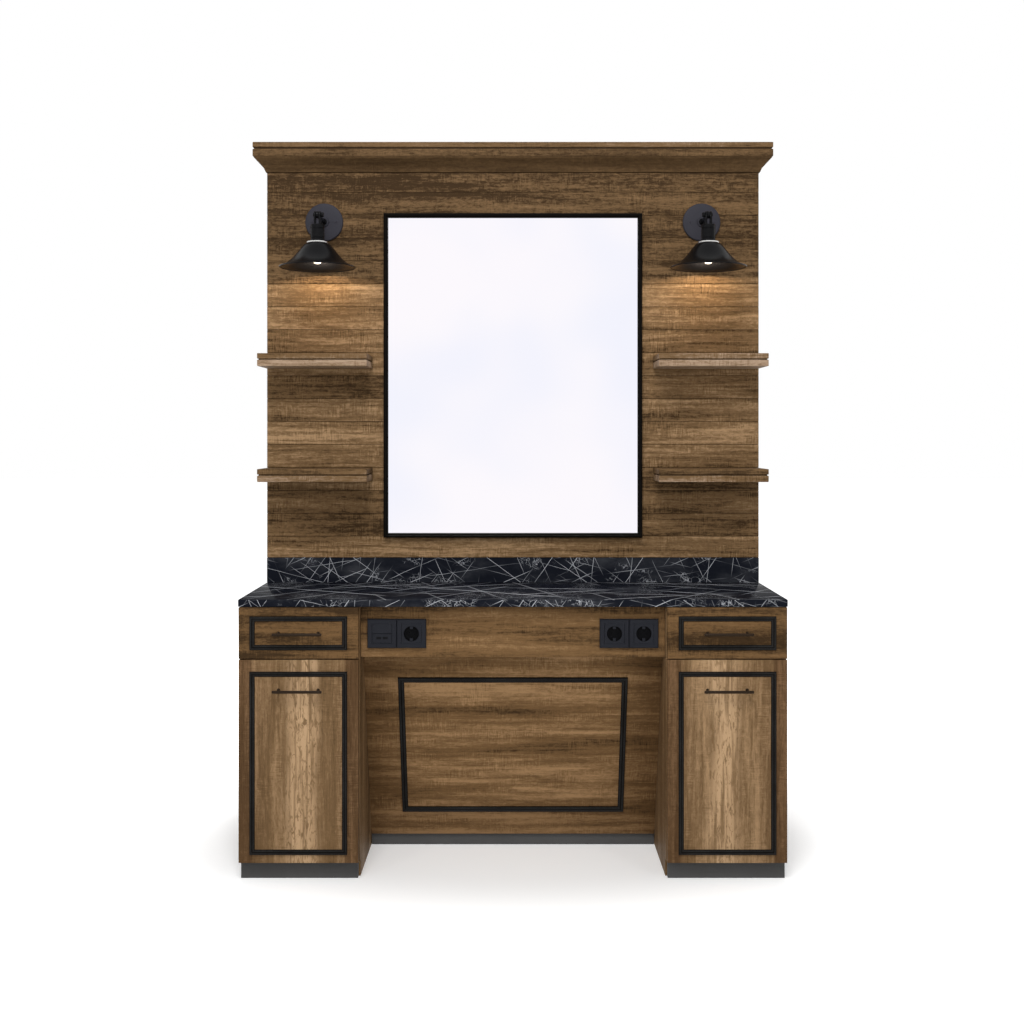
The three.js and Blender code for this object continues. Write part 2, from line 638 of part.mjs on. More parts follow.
// Front with its moulding and a box behind it, carried on the runners
function drawer(side) {
  const near = CABINET_INNER + BOARD + RUNNER_SPACE;
  const far = HALF_WIDTH - BOARD - RUNNER_SPACE;
  const housed = -WORKTOP_FRONT + FRONT_THICK / 2;
  const back = -FRONT_BACK + DRAWER_DEPTH;
  const walls = [DRAWER_FOOT, DRAWER_FOOT + DRAWER_SIDE_HEIGHT];
  const mouldXs = outward(side, around(CABINET_MIDDLE, MOULD_LENGTH));
  return joined(
    block(outward(side, FRONT_XS), FRONT_YS, [DRAWER_FRONT_FOOT, DRAWER_FRONT_TOP]),
    moulding(mouldXs, around(DRAWER_MOULD_MIDDLE, DRAWER_MOULD_HEIGHT), MOULD_WIDTH, MOULD_YS),
    block(outward(side, [near, near + DRAWER_WALL]), [housed, back], walls),
    block(outward(side, [far - DRAWER_WALL, far]), [housed, back], walls),
    block(outward(side, [near, far]), [back - DRAWER_WALL, back], walls),
    block(outward(side, [near, far]), [housed, back], [DRAWER_FOOT, DRAWER_FOOT + DRAWER_BASE]),
  );
}

// Front with its moulding and a tub behind it, whose ears turn on the cabinet's pins.
// The front's foot is relieved at the back, to swing clear of the cabinet sides
function towelBin(side) {
  const near = CABINET_INNER + BOARD + BIN_SIDE_GAP;
  const far = HALF_WIDTH - BOARD - BIN_SIDE_GAP;
  const housed = -WORKTOP_FRONT + FRONT_THICK / 2;
  const back = -FRONT_BACK + BIN_DEPTH;
  const earBack = -PIVOT_BACK + PIVOT_EAR;
  const cheek = [
    [housed, BIN_FRONT_FOOT],
    [earBack, BIN_FRONT_FOOT],
    [earBack, BIN_FLOOR],
    [back, BIN_FLOOR],
    [back, BIN_BACK_TOP],
    [housed, BIN_CHEEK_TOP],
  ];
  const [frontFace, frontBack] = FRONT_YS;
  const front = [
    [frontFace, BIN_FRONT_FOOT],
    [frontBack - BIN_FOOT_RELIEF, BIN_FRONT_FOOT],
    [frontBack, BIN_FRONT_FOOT + BIN_FOOT_RELIEF],
    [frontBack, BIN_FRONT_TOP],
    [frontFace, BIN_FRONT_TOP],
  ];
  const mouldXs = outward(side, around(CABINET_MIDDLE, MOULD_LENGTH));
  const tubXs = outward(side, [near, far]);
  const pivot = { y: -PIVOT_BACK, z: PIVOT_HEIGHT };
  const whole = joined(
    prism("x", front, outward(side, FRONT_XS)),
    moulding(mouldXs, [BIN_MOULD_FOOT, BIN_MOULD_TOP], MOULD_WIDTH, MOULD_YS),
    prism("x", cheek, outward(side, [near, near + BIN_WALL])),
    prism("x", cheek, outward(side, [far - BIN_WALL, far])),
    block(tubXs, [back - BIN_WALL, back], [BIN_FLOOR, BIN_BACK_TOP]),
    block(tubXs, [housed, back], [BIN_FLOOR, BIN_FLOOR + BIN_WALL]),
  );
  const bore = rod("x", PIVOT_RADIUS + PIVOT_CLEARANCE, [tubXs[0] - LAP, tubXs[1] + LAP], pivot);
  return whole.subtract(bore);
}

// Round bar on two posts
function barHandle(side, height) {
  const middle = side * CABINET_MIDDLE;
  const barAt = -WORKTOP_FRONT - HANDLE_REACH;
  const post = (step) => rod(
    "y",
    HANDLE_POST_RADIUS,
    [barAt, -WORKTOP_FRONT],
    { x: middle + step * HANDLE_POST_SPACING / 2, z: height },
  );
  const bar = rod("x", HANDLE_RADIUS, around(middle, HANDLE_LENGTH), { y: barAt, z: height });
  return joined(bar, post(-1), post(1));
}

const station = new THREE.Group();
addPiece(station, "worktop", block(
  bothWays(HALF_WIDTH),
  bothWays(WORKTOP_FRONT),
  [CABINET_TOP, WORKTOP_TOP],
), STONE);
addPiece(station, "spine_core", spineCore(), WOOD);
addPiece(station, "cornice_moulding", corniceMoulding(), WOOD);
addPiece(station, "cornice_top", corniceTop(), WOOD);

const SIDES = { left: -1, right: 1 };
for (const [name, side] of Object.entries(SIDES)) {
  addPiece(station, `${name}_carcass`, carcass(side), WOOD);
  addPiece(station, `${name}_plinth`, plinth(side), PLINTH_GREY);
}

// Both faces are alike: the rear is the front turned half round, with left and right as seen facing it
const FACES = { front: 0, rear: Math.PI };
for (const [faceName, turn] of Object.entries(FACES)) {
  const face = new THREE.Group();
  face.rotation.z = turn;
  station.add(face);
  addPiece(face, `${faceName}_plank_panel`, plankPanel(), WOOD);
  addPiece(face, `${faceName}_mirror_frame`, mirrorFrame(), LACQUER);
  addPiece(face, `${faceName}_mirror_glass`, mirrorGlass(), SILVERED);
  addPiece(face, `${faceName}_splashback`, splashback(), STONE);
  addPiece(face, `${faceName}_apron`, apron(), WOOD);
  addPiece(face, `${faceName}_knee_panel`, kneePanel(), WOOD);
  for (const [sideName, side] of Object.entries(SIDES)) {
    const prefix = `${faceName}_${sideName}`;
    for (const [level, height] of Object.entries(SHELF_HEIGHTS)) {
      addPiece(face, `${prefix}_shelf_${level}`, shelf(side, height), WOOD);
    }
    addPiece(face, `${prefix}_lamp_bracket`, lampBracket(side), BLACK_METAL);
    addPiece(face, `${prefix}_lamp_head`, lampHead(side), BLACK_METAL);
    addPiece(face, `${prefix}_lamp_bulb`, lampBulb(side), BULB_GLASS);
    addPiece(face, `${prefix}_socket_plate`, socketPlate(side), BLACK_PLASTIC);
    addPiece(face, `${prefix}_drawer`, drawer(side), WOOD);
    addPiece(face, `${prefix}_drawer_handle`, barHandle(side, DRAWER_MOULD_MIDDLE), BLACK_METAL);
    addPiece(face, `${prefix}_towel_bin`, towelBin(side), WOOD);
    addPiece(face, `${prefix}_bin_handle`, barHandle(side, BIN_HANDLE_HEIGHT), BLACK_METAL);
  }
}

export default station;
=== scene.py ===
"""Looks of a double sided salon station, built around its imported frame, in metres."""

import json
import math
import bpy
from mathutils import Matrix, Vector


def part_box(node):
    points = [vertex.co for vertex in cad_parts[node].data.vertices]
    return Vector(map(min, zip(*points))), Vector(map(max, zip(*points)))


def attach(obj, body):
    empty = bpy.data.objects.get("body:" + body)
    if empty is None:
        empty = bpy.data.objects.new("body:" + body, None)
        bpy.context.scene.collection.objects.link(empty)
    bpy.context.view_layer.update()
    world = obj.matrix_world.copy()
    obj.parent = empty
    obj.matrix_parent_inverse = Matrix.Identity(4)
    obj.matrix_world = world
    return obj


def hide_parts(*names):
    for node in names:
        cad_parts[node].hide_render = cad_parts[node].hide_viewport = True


bl_info = {
    "name": "Double sided salon station",
    "version": (1, 0, 0),
    "blender": (4, 5, 0),
    "location": "View3D > Sidebar > Station",
    "description": "Builds the boards, lamps, stone and fittings of a double sided salon station",
    "category": "Add Mesh",
}

import bmesh
import bpy
from mathutils import Matrix, Vector

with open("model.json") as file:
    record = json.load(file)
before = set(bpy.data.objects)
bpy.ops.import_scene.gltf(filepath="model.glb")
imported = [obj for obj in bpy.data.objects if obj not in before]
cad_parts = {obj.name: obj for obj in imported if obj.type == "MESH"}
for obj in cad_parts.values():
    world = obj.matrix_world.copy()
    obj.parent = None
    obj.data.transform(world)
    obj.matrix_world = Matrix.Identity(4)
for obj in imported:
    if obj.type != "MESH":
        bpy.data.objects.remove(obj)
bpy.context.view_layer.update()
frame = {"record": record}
JOINTS = {joint["name"]: joint for joint in frame["record"]["behaviour"]["joints"]}

ROOT = "station"
HERE = Matrix.Identity(4)
FACES = {"front": HERE, "rear": Matrix.Rotation(math.pi, 4, "Z")}
SIDES = {"left": -1, "right": 1}
OPPOSITE = {"left": "right", "right": "left"}
QUARTER = math.pi / 2
# Local x, y, z of an upright drawing become X, Z and the way out of the front
UPRIGHT = Matrix.Rotation(QUARTER, 4, "X")
# Faces that meet under this angle are shaded as one surface
SMOOTH_UNDER = math.radians(20.0)
# Materials by finish, filled by the first step
FINISHES = {}


def length(name, description, default):
    return bpy.props.FloatProperty(
        name=name, description=description, default=default, unit="LENGTH", precision=4
    )


def number(name, description, default):
    return bpy.props.FloatProperty(name=name, description=description, default=default)


def colour(name, description, default):
    return bpy.props.FloatVectorProperty(
        name=name, description=description, default=default, size=3, subtype="COLOR", min=0.0, max=1.0
    )


class StationSizes(bpy.types.PropertyGroup):
    """Sizes of the boards and fittings"""

    board: length("Board", "Thickness of cabinet boards", 0.018)
    ease: length("Eased edge", "Rounding along the edges of boards", 0.0014)
    stone_ease: length("Stone edge", "Rounding along the edges of the stone", 0.002)
    plank_pitch: length("Plank pitch", "Height of one plank with its joint", 0.070)
    first_plank: length("First plank", "Height of the lowest plank", 0.065)
    plank_gap: length("Plank gap", "Open joint between planks", 0.0012)
    plank_chamfer: length("Plank chamfer", "Chamfer along the edges of planks", 0.0012)
    plank_tongue: length("Plank tongue", "How far the tongues lie behind the faces of the planks", 0.003)
    mould_width: length("Moulding width", "Width of the applied moulding", 0.014)
    mould_proud: length("Moulding height", "How far the moulding stands out", 0.006)
    mould_length: length("Moulding length", "Outer length of the moulding on fronts", 0.266)
    drawer_mould: length("Drawer moulding", "Outer height of the moulding on drawers", 0.092)
    bin_mould: length("Bin moulding", "Outer height of the moulding on towel bins", 0.499)
    bin_mould_foot: length("Bin moulding foot", "Height of the moulding over the bin front's foot", 0.023)
    foot_relief: length("Bin foot relief", "Chamfer at the back of the bin front's foot", 0.0105)
    knee_top: length("Knee panel top", "Set-back of the knee panel at its top", 0.098)
    knee_foot: length("Knee panel foot", "Set-back of the knee panel at its foot", 0.300)
    knee_mould_length: length("Knee moulding length", "Outer length of the knee moulding", 0.650)
    knee_mould_height: length("Knee moulding height", "Outer height of the knee moulding up the slope", 0.450)
    knee_mould_width: length("Knee moulding width", "Width of the knee moulding", 0.017)
    knee_mould_top: length("Knee moulding place", "Distance of the knee moulding from the top edge", 0.076)
    kick_height: length("Kick height", "Height of the kick board in the knee space", 0.035)
    kick_recess: length("Kick recess", "Set-back of the kick board", 0.310)
    soffit: length("Soffit", "Thickness of the soffit board", 0.012)
    shelf_lower: length("Shelf lower board", "Thickness of the lower shelf board", 0.019)
    shelf_groove: length("Shelf groove", "Height of the groove between shelf boards", 0.003)
    groove_depth: length("Groove depth", "Depth of the shadow grooves", 0.004)
    drawer_wall: length("Drawer wall", "Thickness of drawer walls", 0.012)
    drawer_base: length("Drawer base", "Thickness of drawer bottoms", 0.006)
    bin_wall: length("Bin wall", "Thickness of bin walls", 0.009)
    handle_radius: length("Handle radius", "Radius of the handle bars", 0.0040)
    handle_spacing: length("Handle posts", "Distance between the handle posts", 0.108)
    outlet_size: length("Outlet size", "Height of one outlet frame", 0.080)
    outlet_pitch: length("Outlet pitch", "Distance between two outlets", 0.081)


class StationColours(bpy.types.PropertyGroup):
    """Colours of the finishes"""

    wood_dark: colour("Dark grain", "Pores and dark streaks of the wood", (0.040, 0.022, 0.009))
    wood_mid: colour("Wood", "Body colour of the wood", (0.150, 0.088, 0.040))
    wood_light: colour("Light grain", "Pale streaks of the wood", (0.34, 0.215, 0.112))
    warm_mid: colour("Warm wood", "Body colour of the lower boards", (0.150, 0.083, 0.034))
    warm_light: colour("Warm light grain", "Pale streaks of the lower boards", (0.34, 0.203, 0.096))
    streak: colour("Sapwood", "Pale heart streak of the bin fronts", (0.50, 0.33, 0.185))
    weathered: colour("Weathered grain", "Pale streaks of shelves and cornice boards", (0.38, 0.27, 0.185))
    stone: colour("Stone", "Ground of the worktop", (0.0082, 0.0095, 0.0142))
    vein: colour("Vein", "Veins in the stone", (0.62, 0.64, 0.68))
    lacquer: colour("Lacquer", "Black mouldings and mirror frame", (0.0028, 0.0021, 0.0015))
    plinth: colour("Plinth", "Plinths and kicks", (0.058, 0.057, 0.056))
    metal: colour("Black metal", "Lamps and outlet contacts", (0.0020, 0.0020, 0.0026))
    bright: colour("Bright metal", "Collars, bulb bases, runners and pins", (0.72, 0.71, 0.69))
    plate: colour("Lamp plate", "Wall plates of the lamps", (0.030, 0.029, 0.037))
    handle: colour("Bronze", "Handles", (0.022, 0.013, 0.007))
    plastic: colour("Black plastic", "Outlets", (0.0125, 0.0135, 0.0180))
    # Cup black is painted shade: the sockets' cups and pin holes are drawn near black
    cup: colour("Cup black", "Insides of the sockets", (0.0015, 0.0015, 0.0020))
    mirror: colour("Mirror", "Silvered glass", (0.975, 0.945, 0.985))
    lamp_light: colour("Lamp light", "Light of the bulbs", (1.0, 0.82, 0.60))
    box_wood: colour("Box wood", "Insides of drawers and bins", (0.26, 0.175, 0.10))


class StationStage(bpy.types.PropertyGroup):
    """Camera and light"""

    camera_away: length("Camera distance", "From the worktop's front edge to the camera", 3.367)
    camera_height: length("Camera height", "Height of the camera over the floor", 1.219)
    focal_px: number("Focal length", "In pixels of the image", 1234.7)
    image_px: number("Image", "Side of the square image in pixels", 1024.0)
    horizon_px: number("Horizon", "Row of the horizon in the image", 435.0)
    middle_px: number("Middle", "Column of the middle plane", 512.9)
    bulb_watts: number("Bulb power", "Power of each bulb's light", 1.5)
    key_watts: number("Key power", "Power of the key softbox", 125.0)
    fill_watts: number("Fill power", "Power of the fill softbox", 42.0)
    strip_watts: number("Strip power", "Power of each side strip", 10.0)
    sky: number("Sky", "Strength of the even light", 0.28)


def sizes():
    return bpy.context.scene.station_sizes


def colours():
    return bpy.context.scene.station_colours


def stage():
    return bpy.context.scene.station_stage


# Mesh helpers. Every piece is drawn where the front face has it, and the rear is that turned half round.


def corners(node):
    low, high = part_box(node)
    return Vector(low), Vector(high)


def pivot_of(joint):
    return Vector(JOINTS[joint]["pos_m"])


def four_places():
    """Each face with its turn, and each side with its sign."""
    for face, turn in FACES.items():
        for side, sign in SIDES.items():
            yield face, turn, side, sign


def turned_at(point, angle, axis):
    return Matrix.Translation(point) @ Matrix.Rotation(angle, 4, axis)


def upright_at(point):
    return Matrix.Translation(point) @ UPRIGHT


def scatter(seed):
    """A steady number from 0 to 1 for a board."""
    return (math.sin(seed * 12.9898 + 4.1414) * 43758.5453) % 1.0


def arc(middle_r, middle_h, radius, start, end, steps):
    """Points of (radius, height) along an arc, with angles in degrees."""
    points = []
    for step in range(steps + 1):
        angle = math.radians(start + (end - start) * step / steps)
        points.append((middle_r + radius * math.cos(angle), middle_h + radius * math.sin(angle)))
    return points


def new_shape():
    bm = bmesh.new()
    bm.faces.layers.float.new("board")
    bm.faces.layers.float.new("tone")
    return bm


def join(bm, part, place=HERE, board=0.0, tone=0.0):
    """Puts a finished part into a shape, and gives its faces their board number and tone."""
    numbers = part.faces.layers.float["board"]
    tones = part.faces.layers.float["tone"]
    for face in part.faces:
        face[numbers] = board
        face[tones] += tone
    bmesh.ops.recalc_face_normals(part, faces=part.faces)
    bmesh.ops.transform(part, matrix=place, verts=part.verts)
    mesh = bpy.data.meshes.new("part")
    part.to_mesh(mesh)
    part.free()
    bm.from_mesh(mesh)
    bpy.data.meshes.remove(mesh)


def bevel(bm, edges, width, segments=2):
    bmesh.ops.bevel(
        bm, geom=list(edges), offset=width, offset_type="OFFSET", segments=segments, profile=0.5,
        affect="EDGES", material=-1, clamp_overlap=True,
    )


def cut(part, point, normal, **settings):
    geometry = [*part.verts, *part.edges, *part.faces]
    return bmesh.ops.bisect_plane(part, geom=geometry, plane_co=point, plane_no=normal, **settings)


def eased_block(low, high, ease=None, segments=2):
    """A block between two corners, with its edges eased."""
    low, high = Vector(low), Vector(high)
    part = new_shape()
    size = Matrix.Diagonal((*(high - low), 1.0))
    bmesh.ops.create_cube(part, size=1.0, matrix=Matrix.Translation((low + high) / 2) @ size)
    bevel(part, part.edges, sizes().ease if ease is None else ease, segments)
    return part


def add_board(bm, low, high, ease=None, board=0.0, segments=2, place=HERE, tone=0.0):
    join(bm, eased_block(low, high, ease, segments), place, board, tone)


def add_ring(bm, wide, tall, profile, place, board=0.0, tone=0.0, wear_and_highlight_strips=()):
    """A mitred rectangular ring, with a closed section of (inset, lift) points. Some strips are paler, for
    wear and a painted highlight.
    """
    part = new_shape()
    tones = part.faces.layers.float["tone"]
    loops = []
    for inset, lift in profile:
        size = Matrix.Diagonal((wide - 2 * inset, tall - 2 * inset, 1.0, 1.0))
        matrix = Matrix.Translation((0, 0, lift)) @ size
        made = bmesh.ops.create_grid(part, x_segments=1, y_segments=1, size=0.5, matrix=matrix)
        face = made["verts"][0].link_faces[0]
        loops.append(list(face.edges))
        bmesh.ops.delete(part, geom=[face], context="FACES_ONLY")
    for strip, (loop, following) in enumerate(zip(loops, loops[1:] + loops[:1])):
        for face in bmesh.ops.bridge_loops(part, edges=loop + following)["faces"]:
            face[tones] = 1.0 if strip in wear_and_highlight_strips else 0.0
    join(bm, part, place, board, tone)


def add_turned(bm, profile, place, steps):
    """A profile of (radius, height) turned about the local z axis."""
    part = new_shape()
    verts = [part.verts.new((radius, 0.0, height)) for radius, height in profile]
    edges = [part.edges.new(pair) for pair in zip(verts, verts[1:])]
    bmesh.ops.spin(
        part, geom=verts + edges, cent=(0, 0, 0), axis=(0, 0, 1), angle=2 * math.pi, steps=steps,
        use_merge=True,
    )
    bmesh.ops.remove_doubles(part, verts=part.verts, dist=1e-6)
    join(bm, part, place)


def add_rod(bm, start, end, radius, segments, ease):
    """A round bar between two points, with eased ends."""
    start, end = Vector(start), Vector(end)
    along = end - start
    part = new_shape()
    bmesh.ops.create_cone(
        part, cap_ends=True, segments=segments, radius1=radius, radius2=radius, depth=along.length
    )
    ends = [face for face in part.faces if len(face.verts) == segments]
    bevel(part, {edge for face in ends for edge in face.edges}, ease)
    turn = along.to_track_quat("Z", "Y").to_matrix().to_4x4()
    join(bm, part, Matrix.Translation((start + end) / 2) @ turn)


def put(name, bm, finish, slot, body=ROOT, turn=HERE, stands_for=()):
    """Turns a drawn shape into a finished piece that rides on a body."""
    bmesh.ops.transform(bm, matrix=turn, verts=bm.verts)
    bmesh.ops.recalc_face_normals(bm, faces=bm.faces)
    for face in bm.faces:
        face.smooth = True
    for edge in bm.edges:
        edge.smooth = edge.is_manifold and edge.calc_face_angle() < SMOOTH_UNDER
    mesh = bpy.data.meshes.new(name)
    bm.to_mesh(mesh)
    bm.free()
    mesh.materials.append(FINISHES[finish])
    piece = bpy.data.objects.new(name, mesh)
    bpy.context.collection.objects.link(piece)
    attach(piece, body)
    if stands_for:
        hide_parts(*stands_for)
    return piece


def put_board(name, low, high, finish, slot, ease=None, board=0.0, tone=0.0, **placed):
    """A piece made of one board."""
    bm = new_shape()
    add_board(bm, low, high, ease, board, tone=tone)
    return put(name, bm, finish, slot, **placed)


def put_turned(name, profile, place, steps, finish, slot, **placed):
    """A piece turned from one profile."""
    bm = new_shape()
    add_turned(bm, profile, place, steps)
    return put(name, bm, finish, slot, **placed)


def put_moulding(name, wide, tall, width, place, **placed):
    """A picture-frame moulding: a raised outer bead, a quirk and a falling inner slope, paler in strips for
    wear and a painted highlight on the bead.
    """
    proud, sunk = sizes().mould_proud, -0.0005
    profile = [
        (0.0, sunk), (0.0, proud * 0.55), (width * 0.08, proud * 0.88), (width * 0.25, proud),
        (width * 0.42, proud * 0.9), (width * 0.5, proud * 0.62), (width * 0.58, proud * 0.6),
        (width * 0.9, proud * 0.35), (width, proud * 0.2), (width, sunk),
    ]
    # The paler strips on the bead and the inner slope are wear and a painted highlight
    strips_with_wear_and_highlight = (2, 3, 6)
    bm = new_shape()
    add_ring(bm, wide, tall, profile, place, wear_and_highlight_strips=strips_with_wear_and_highlight)
    return put(name, bm, "lacquer", "lacquer", **placed)


def put_handle(name, node, **placed):
    """A round bar with domed ends on two posts with flanged feet, in the place of a front handle."""
    given = sizes()
    low, high = corners(node)
    middle = (low + high) / 2
    radius, rounding = given.handle_radius, 0.002
    bar_y = low.y + radius
    half = (high.x - low.x) / 2
    foot = high.y - bar_y
    dome = [(0.0, half)] + arc(radius - rounding, half - rounding, rounding, 90, 0, 4)
    bar = dome + [(r, -h) for r, h in reversed(dome)]
    post = [
        (0.0, foot), (0.0042, foot), (0.0042, foot - 0.0012), (0.0034, foot - 0.002),
        (0.0028, foot - 0.004), (0.0028, 0.0), (0.0, 0.0),
    ]
    bm = new_shape()
    add_turned(bm, bar, turned_at((middle.x, bar_y, middle.z), QUARTER, "Y"), 24)
    for step in (-0.5, 0.5):
        x = middle.x + step * given.handle_spacing
        add_turned(bm, post, turned_at((x, bar_y, middle.z), -QUARTER, "X"), 20)
    return put(name, bm, "handle", "black_metal", **placed)


# Material helpers

COLOR, VALUE, VECTOR = "NodeSocketColor", "NodeSocketFloat", "NodeSocketVector"
WHITE = (1.0, 1.0, 1.0, 1.0)
WHOLE = (1.0, 1.0, 1.0)
NONE = (0.0, 0.0, 0.0)
# How much paler the strips of a moulding are that carry wear and a painted highlight
WEAR_AND_HIGHLIGHT = 0.048


class Tree:
    """Adds nodes to a node tree in a short form."""

    def __init__(self, tree):
        self.tree = tree

    def add(self, kind, inputs=None, **settings):
        node = self.tree.nodes.new(kind)
        for name, value in settings.items():
            setattr(node, name, value)
        for name, value in (inputs or {}).items():
            self.feed(node.inputs[name], value)
        return node

    def feed(self, socket, value):
        if isinstance(value, bpy.types.NodeSocket):
            self.tree.links.new(value, socket)
        else:
            socket.default_value = value

    def math(self, operation, first, second=0.0, third=0.0):
        return self.add("ShaderNodeMath", {0: first, 1: second, 2: third}, operation=operation).outputs[0]

    def times(self, first, second):
        return self.math("MULTIPLY", first, second)

    def plus(self, first, second):
        return self.math("ADD", first, second)

    def minus(self, first, second):
        return self.math("SUBTRACT", first, second)

    def times_plus(self, first, second, third):
        return self.math("MULTIPLY_ADD", first, second, third)

    def most(self, first, second):
        return self.math("MAXIMUM", first, second)

    def around_zero(self, noise):
        return self.minus(noise, 0.5)

    def blend(self, share, first, second, mode="MIX"):
        inputs = {0: share, 6: first, 7: second}
        node = self.add("ShaderNodeMix", inputs, data_type="RGBA", blend_type=mode, clamp_factor=True)
        return node.outputs[2]

    def ramp(self, value, from_low, from_high, to_low=0.0, to_high=1.0):
        inputs = {
            "Value": value, "From Min": from_low, "From Max": from_high, "To Min": to_low, "To Max": to_high,
        }
        return self.add("ShaderNodeMapRange", inputs, interpolation_type="SMOOTHSTEP").outputs["Result"]

    def vector(self, operation, *values):
        return self.add("ShaderNodeVectorMath", dict(enumerate(values)), operation=operation).outputs[0]

    def axes(self, vector):
        return self.add("ShaderNodeSeparateXYZ", {"Vector": vector}).outputs

    def own(self, attribute):
        """A number that the faces of a piece carry."""
        return self.add("ShaderNodeAttribute", attribute_name=attribute).outputs["Fac"]

    def scaled(self, vector, scale, turn=NONE, shift=NONE):
        inputs = {"Vector": vector, "Scale": scale, "Rotation": turn, "Location": shift}
        return self.add("ShaderNodeMapping", inputs).outputs["Vector"]

    def noise(self, vector, scale=1.0, detail=4.0, rough=0.55, warp=0.0):
        inputs = {"Vector": vector, "Scale": scale, "Detail": detail, "Roughness": rough, "Distortion": warp}
        return self.add("ShaderNodeTexNoise", inputs).outputs["Fac"]

    def drawn_noise(self, vector, waves, detail, rough, warp=0.0, shift=NONE):
        """Noise with its own number of waves in a metre along each axis."""
        return self.noise(self.scaled(vector, waves, shift=shift), 1.0, detail, rough, warp)

    def warped(self, vector, scale, detail, reach):
        """A vector pushed about by noise, up to a reach in metres."""
        push = self.add("ShaderNodeTexNoise", {"Vector": vector, "Scale": scale, "Detail": detail})
        return self.vector("MULTIPLY_ADD", push.outputs["Color"], (reach, reach, reach), vector)

    def cracks(self, vector, scale):
        """Distance to the nearest edge of a set of cells."""
        inputs = {"Vector": vector, "Scale": scale}
        return self.add("ShaderNodeTexVoronoi", inputs, feature="DISTANCE_TO_EDGE").outputs["Distance"]

    def lines(self, vector, spread):
        """Distance to the nearest of a set of parallel lines along the first axis of a vector."""
        node = self.add("ShaderNodeTexVoronoi", feature="DISTANCE_TO_EDGE", voronoi_dimensions="1D")
        self.feed(node.inputs["W"], self.axes(vector)["Y"])
        self.feed(node.inputs["Scale"], spread)
        return node.outputs["Distance"]


def rgba(value):
    return (*value, 1.0)


def new_group(name, inputs, outputs):
    group = bpy.data.node_groups.new(name, "ShaderNodeTree")
    for socket, kind in inputs.items():
        group.interface.new_socket(socket, in_out="INPUT", socket_type=kind)
    for socket, kind in outputs.items():
        group.interface.new_socket(socket, in_out="OUTPUT", socket_type=kind)
    tree = Tree(group)
    return group, tree, tree.add("NodeGroupInput").outputs, tree.add("NodeGroupOutput").inputs


SURFACE = {"Color": COLOR, "Roughness": VALUE, "Height": VALUE}


def grain_group():
    """Rustic sawn wood whose grain runs along the first axis of its vector."""
    given_sockets = {
        "Vector": VECTOR, "Board": VALUE, "Dark": COLOR, "Body": COLOR, "Light": COLOR, "Pale": VALUE,
        "Bands": VALUE, "Coarse": VALUE,
    }
    group, tree, given, out = new_group("Sawn wood grain", given_sockets, SURFACE)
    board_step, board_slant, sway_reach = 37.0, 1.7, 0.030
    streak_share, fibre_share, mottle_share, saw_share, pore_share = 0.80, 0.35, 0.62, 0.72, 0.24
    board = tree.times(given["Board"], board_step)
    apart = tree.add("ShaderNodeCombineXYZ", {"X": board, "Y": tree.times(board, board_slant), "Z": board})
    place = tree.vector("ADD", given["Vector"], apart.outputs[0])
    sway = tree.times(tree.drawn_noise(place, (2.2, 7.0, 7.0), 2.0, 0.5), sway_reach)
    course = tree.vector("ADD", place, tree.add("ShaderNodeCombineXYZ", {"Y": sway, "Z": sway}).outputs[0])
    broad = tree.drawn_noise(course, (1.3, 15.0, 15.0), 3.0, 0.5, 0.3)
    streaks = tree.drawn_noise(course, (3.6, 84.0, 84.0), 4.0, 0.6, 0.4)
    fibres = tree.drawn_noise(course, (24.0, 420.0, 420.0), 3.0, 0.6)
    mottle = tree.drawn_noise(place, (62.0, 120.0, 120.0), 4.0, 0.7, 0.8)
    patches = tree.drawn_noise(place, (9.0, 24.0, 24.0), 3.0, 0.55, shift=(3.0, 1.0, 2.0))
    saw = tree.drawn_noise(place, (310.0, 26.0, 26.0), 2.0, 0.5, 0.8)
    # Dark boards are calmer
    calm = tree.ramp(given["Pale"], -0.25, -0.02, 0.5, 1.0)
    sawn = tree.times(tree.times(tree.around_zero(saw), tree.ramp(patches, 0.44, 0.64)), calm)
    fine = tree.times(tree.around_zero(streaks), tree.times(calm, streak_share))
    fine = tree.times_plus(tree.around_zero(fibres), fibre_share, fine)
    fine = tree.times_plus(tree.around_zero(mottle), mottle_share, fine)
    fine = tree.times_plus(sawn, saw_share, fine)
    tone = tree.times_plus(tree.around_zero(broad), tree.times(given["Bands"], calm), given["Pale"])
    tone = tree.plus(tone, tree.times(fine, given["Coarse"]))
    body = tree.blend(tree.ramp(tone, -0.32, 0.0), given["Dark"], given["Body"])
    wood = tree.blend(tree.ramp(tone, -0.02, 0.40), body, given["Light"])
    pores = tree.ramp(tree.plus(fibres, tree.times(streaks, 0.5)), 0.56, 0.70)
    dark_pores = tree.times(tree.minus(1.0, pores), tree.times(given["Coarse"], pore_share))
    tree.feed(out["Color"], tree.blend(dark_pores, wood, given["Dark"]))
    tree.feed(out["Roughness"], tree.ramp(tone, -0.4, 0.4, 0.72, 0.52))
    tree.feed(out["Height"], tree.times_plus(streaks, 0.5, tree.times_plus(sawn, 0.6, pores)))
    return group


def mottle_group():
    """Fine mottling for painted, moulded and metal surfaces."""
    given_sockets = {
        "Vector": VECTOR, "Scale": VALUE, "Ground": COLOR, "Lift": VALUE, "Smooth": VALUE, "Rough": VALUE,
    }
    group, tree, given, out = new_group("Fine mottle", given_sockets, SURFACE)
    inputs = {0: given["Vector"], "Scale": given["Scale"]}
    fine = tree.noise(tree.add("ShaderNodeVectorMath", inputs, operation="SCALE").outputs[0], 1.0, 3.0, 0.6)
    cloud = tree.noise(given["Vector"], 9.0, 4.0, 0.6)
    lifted = tree.times(tree.times(cloud, fine), given["Lift"])
    tree.feed(out["Color"], tree.blend(lifted, given["Ground"], WHITE))
    span = tree.minus(given["Rough"], given["Smooth"])
    tree.feed(out["Roughness"], tree.times_plus(cloud, span, given["Smooth"]))
    tree.feed(out["Height"], fine)
    return group


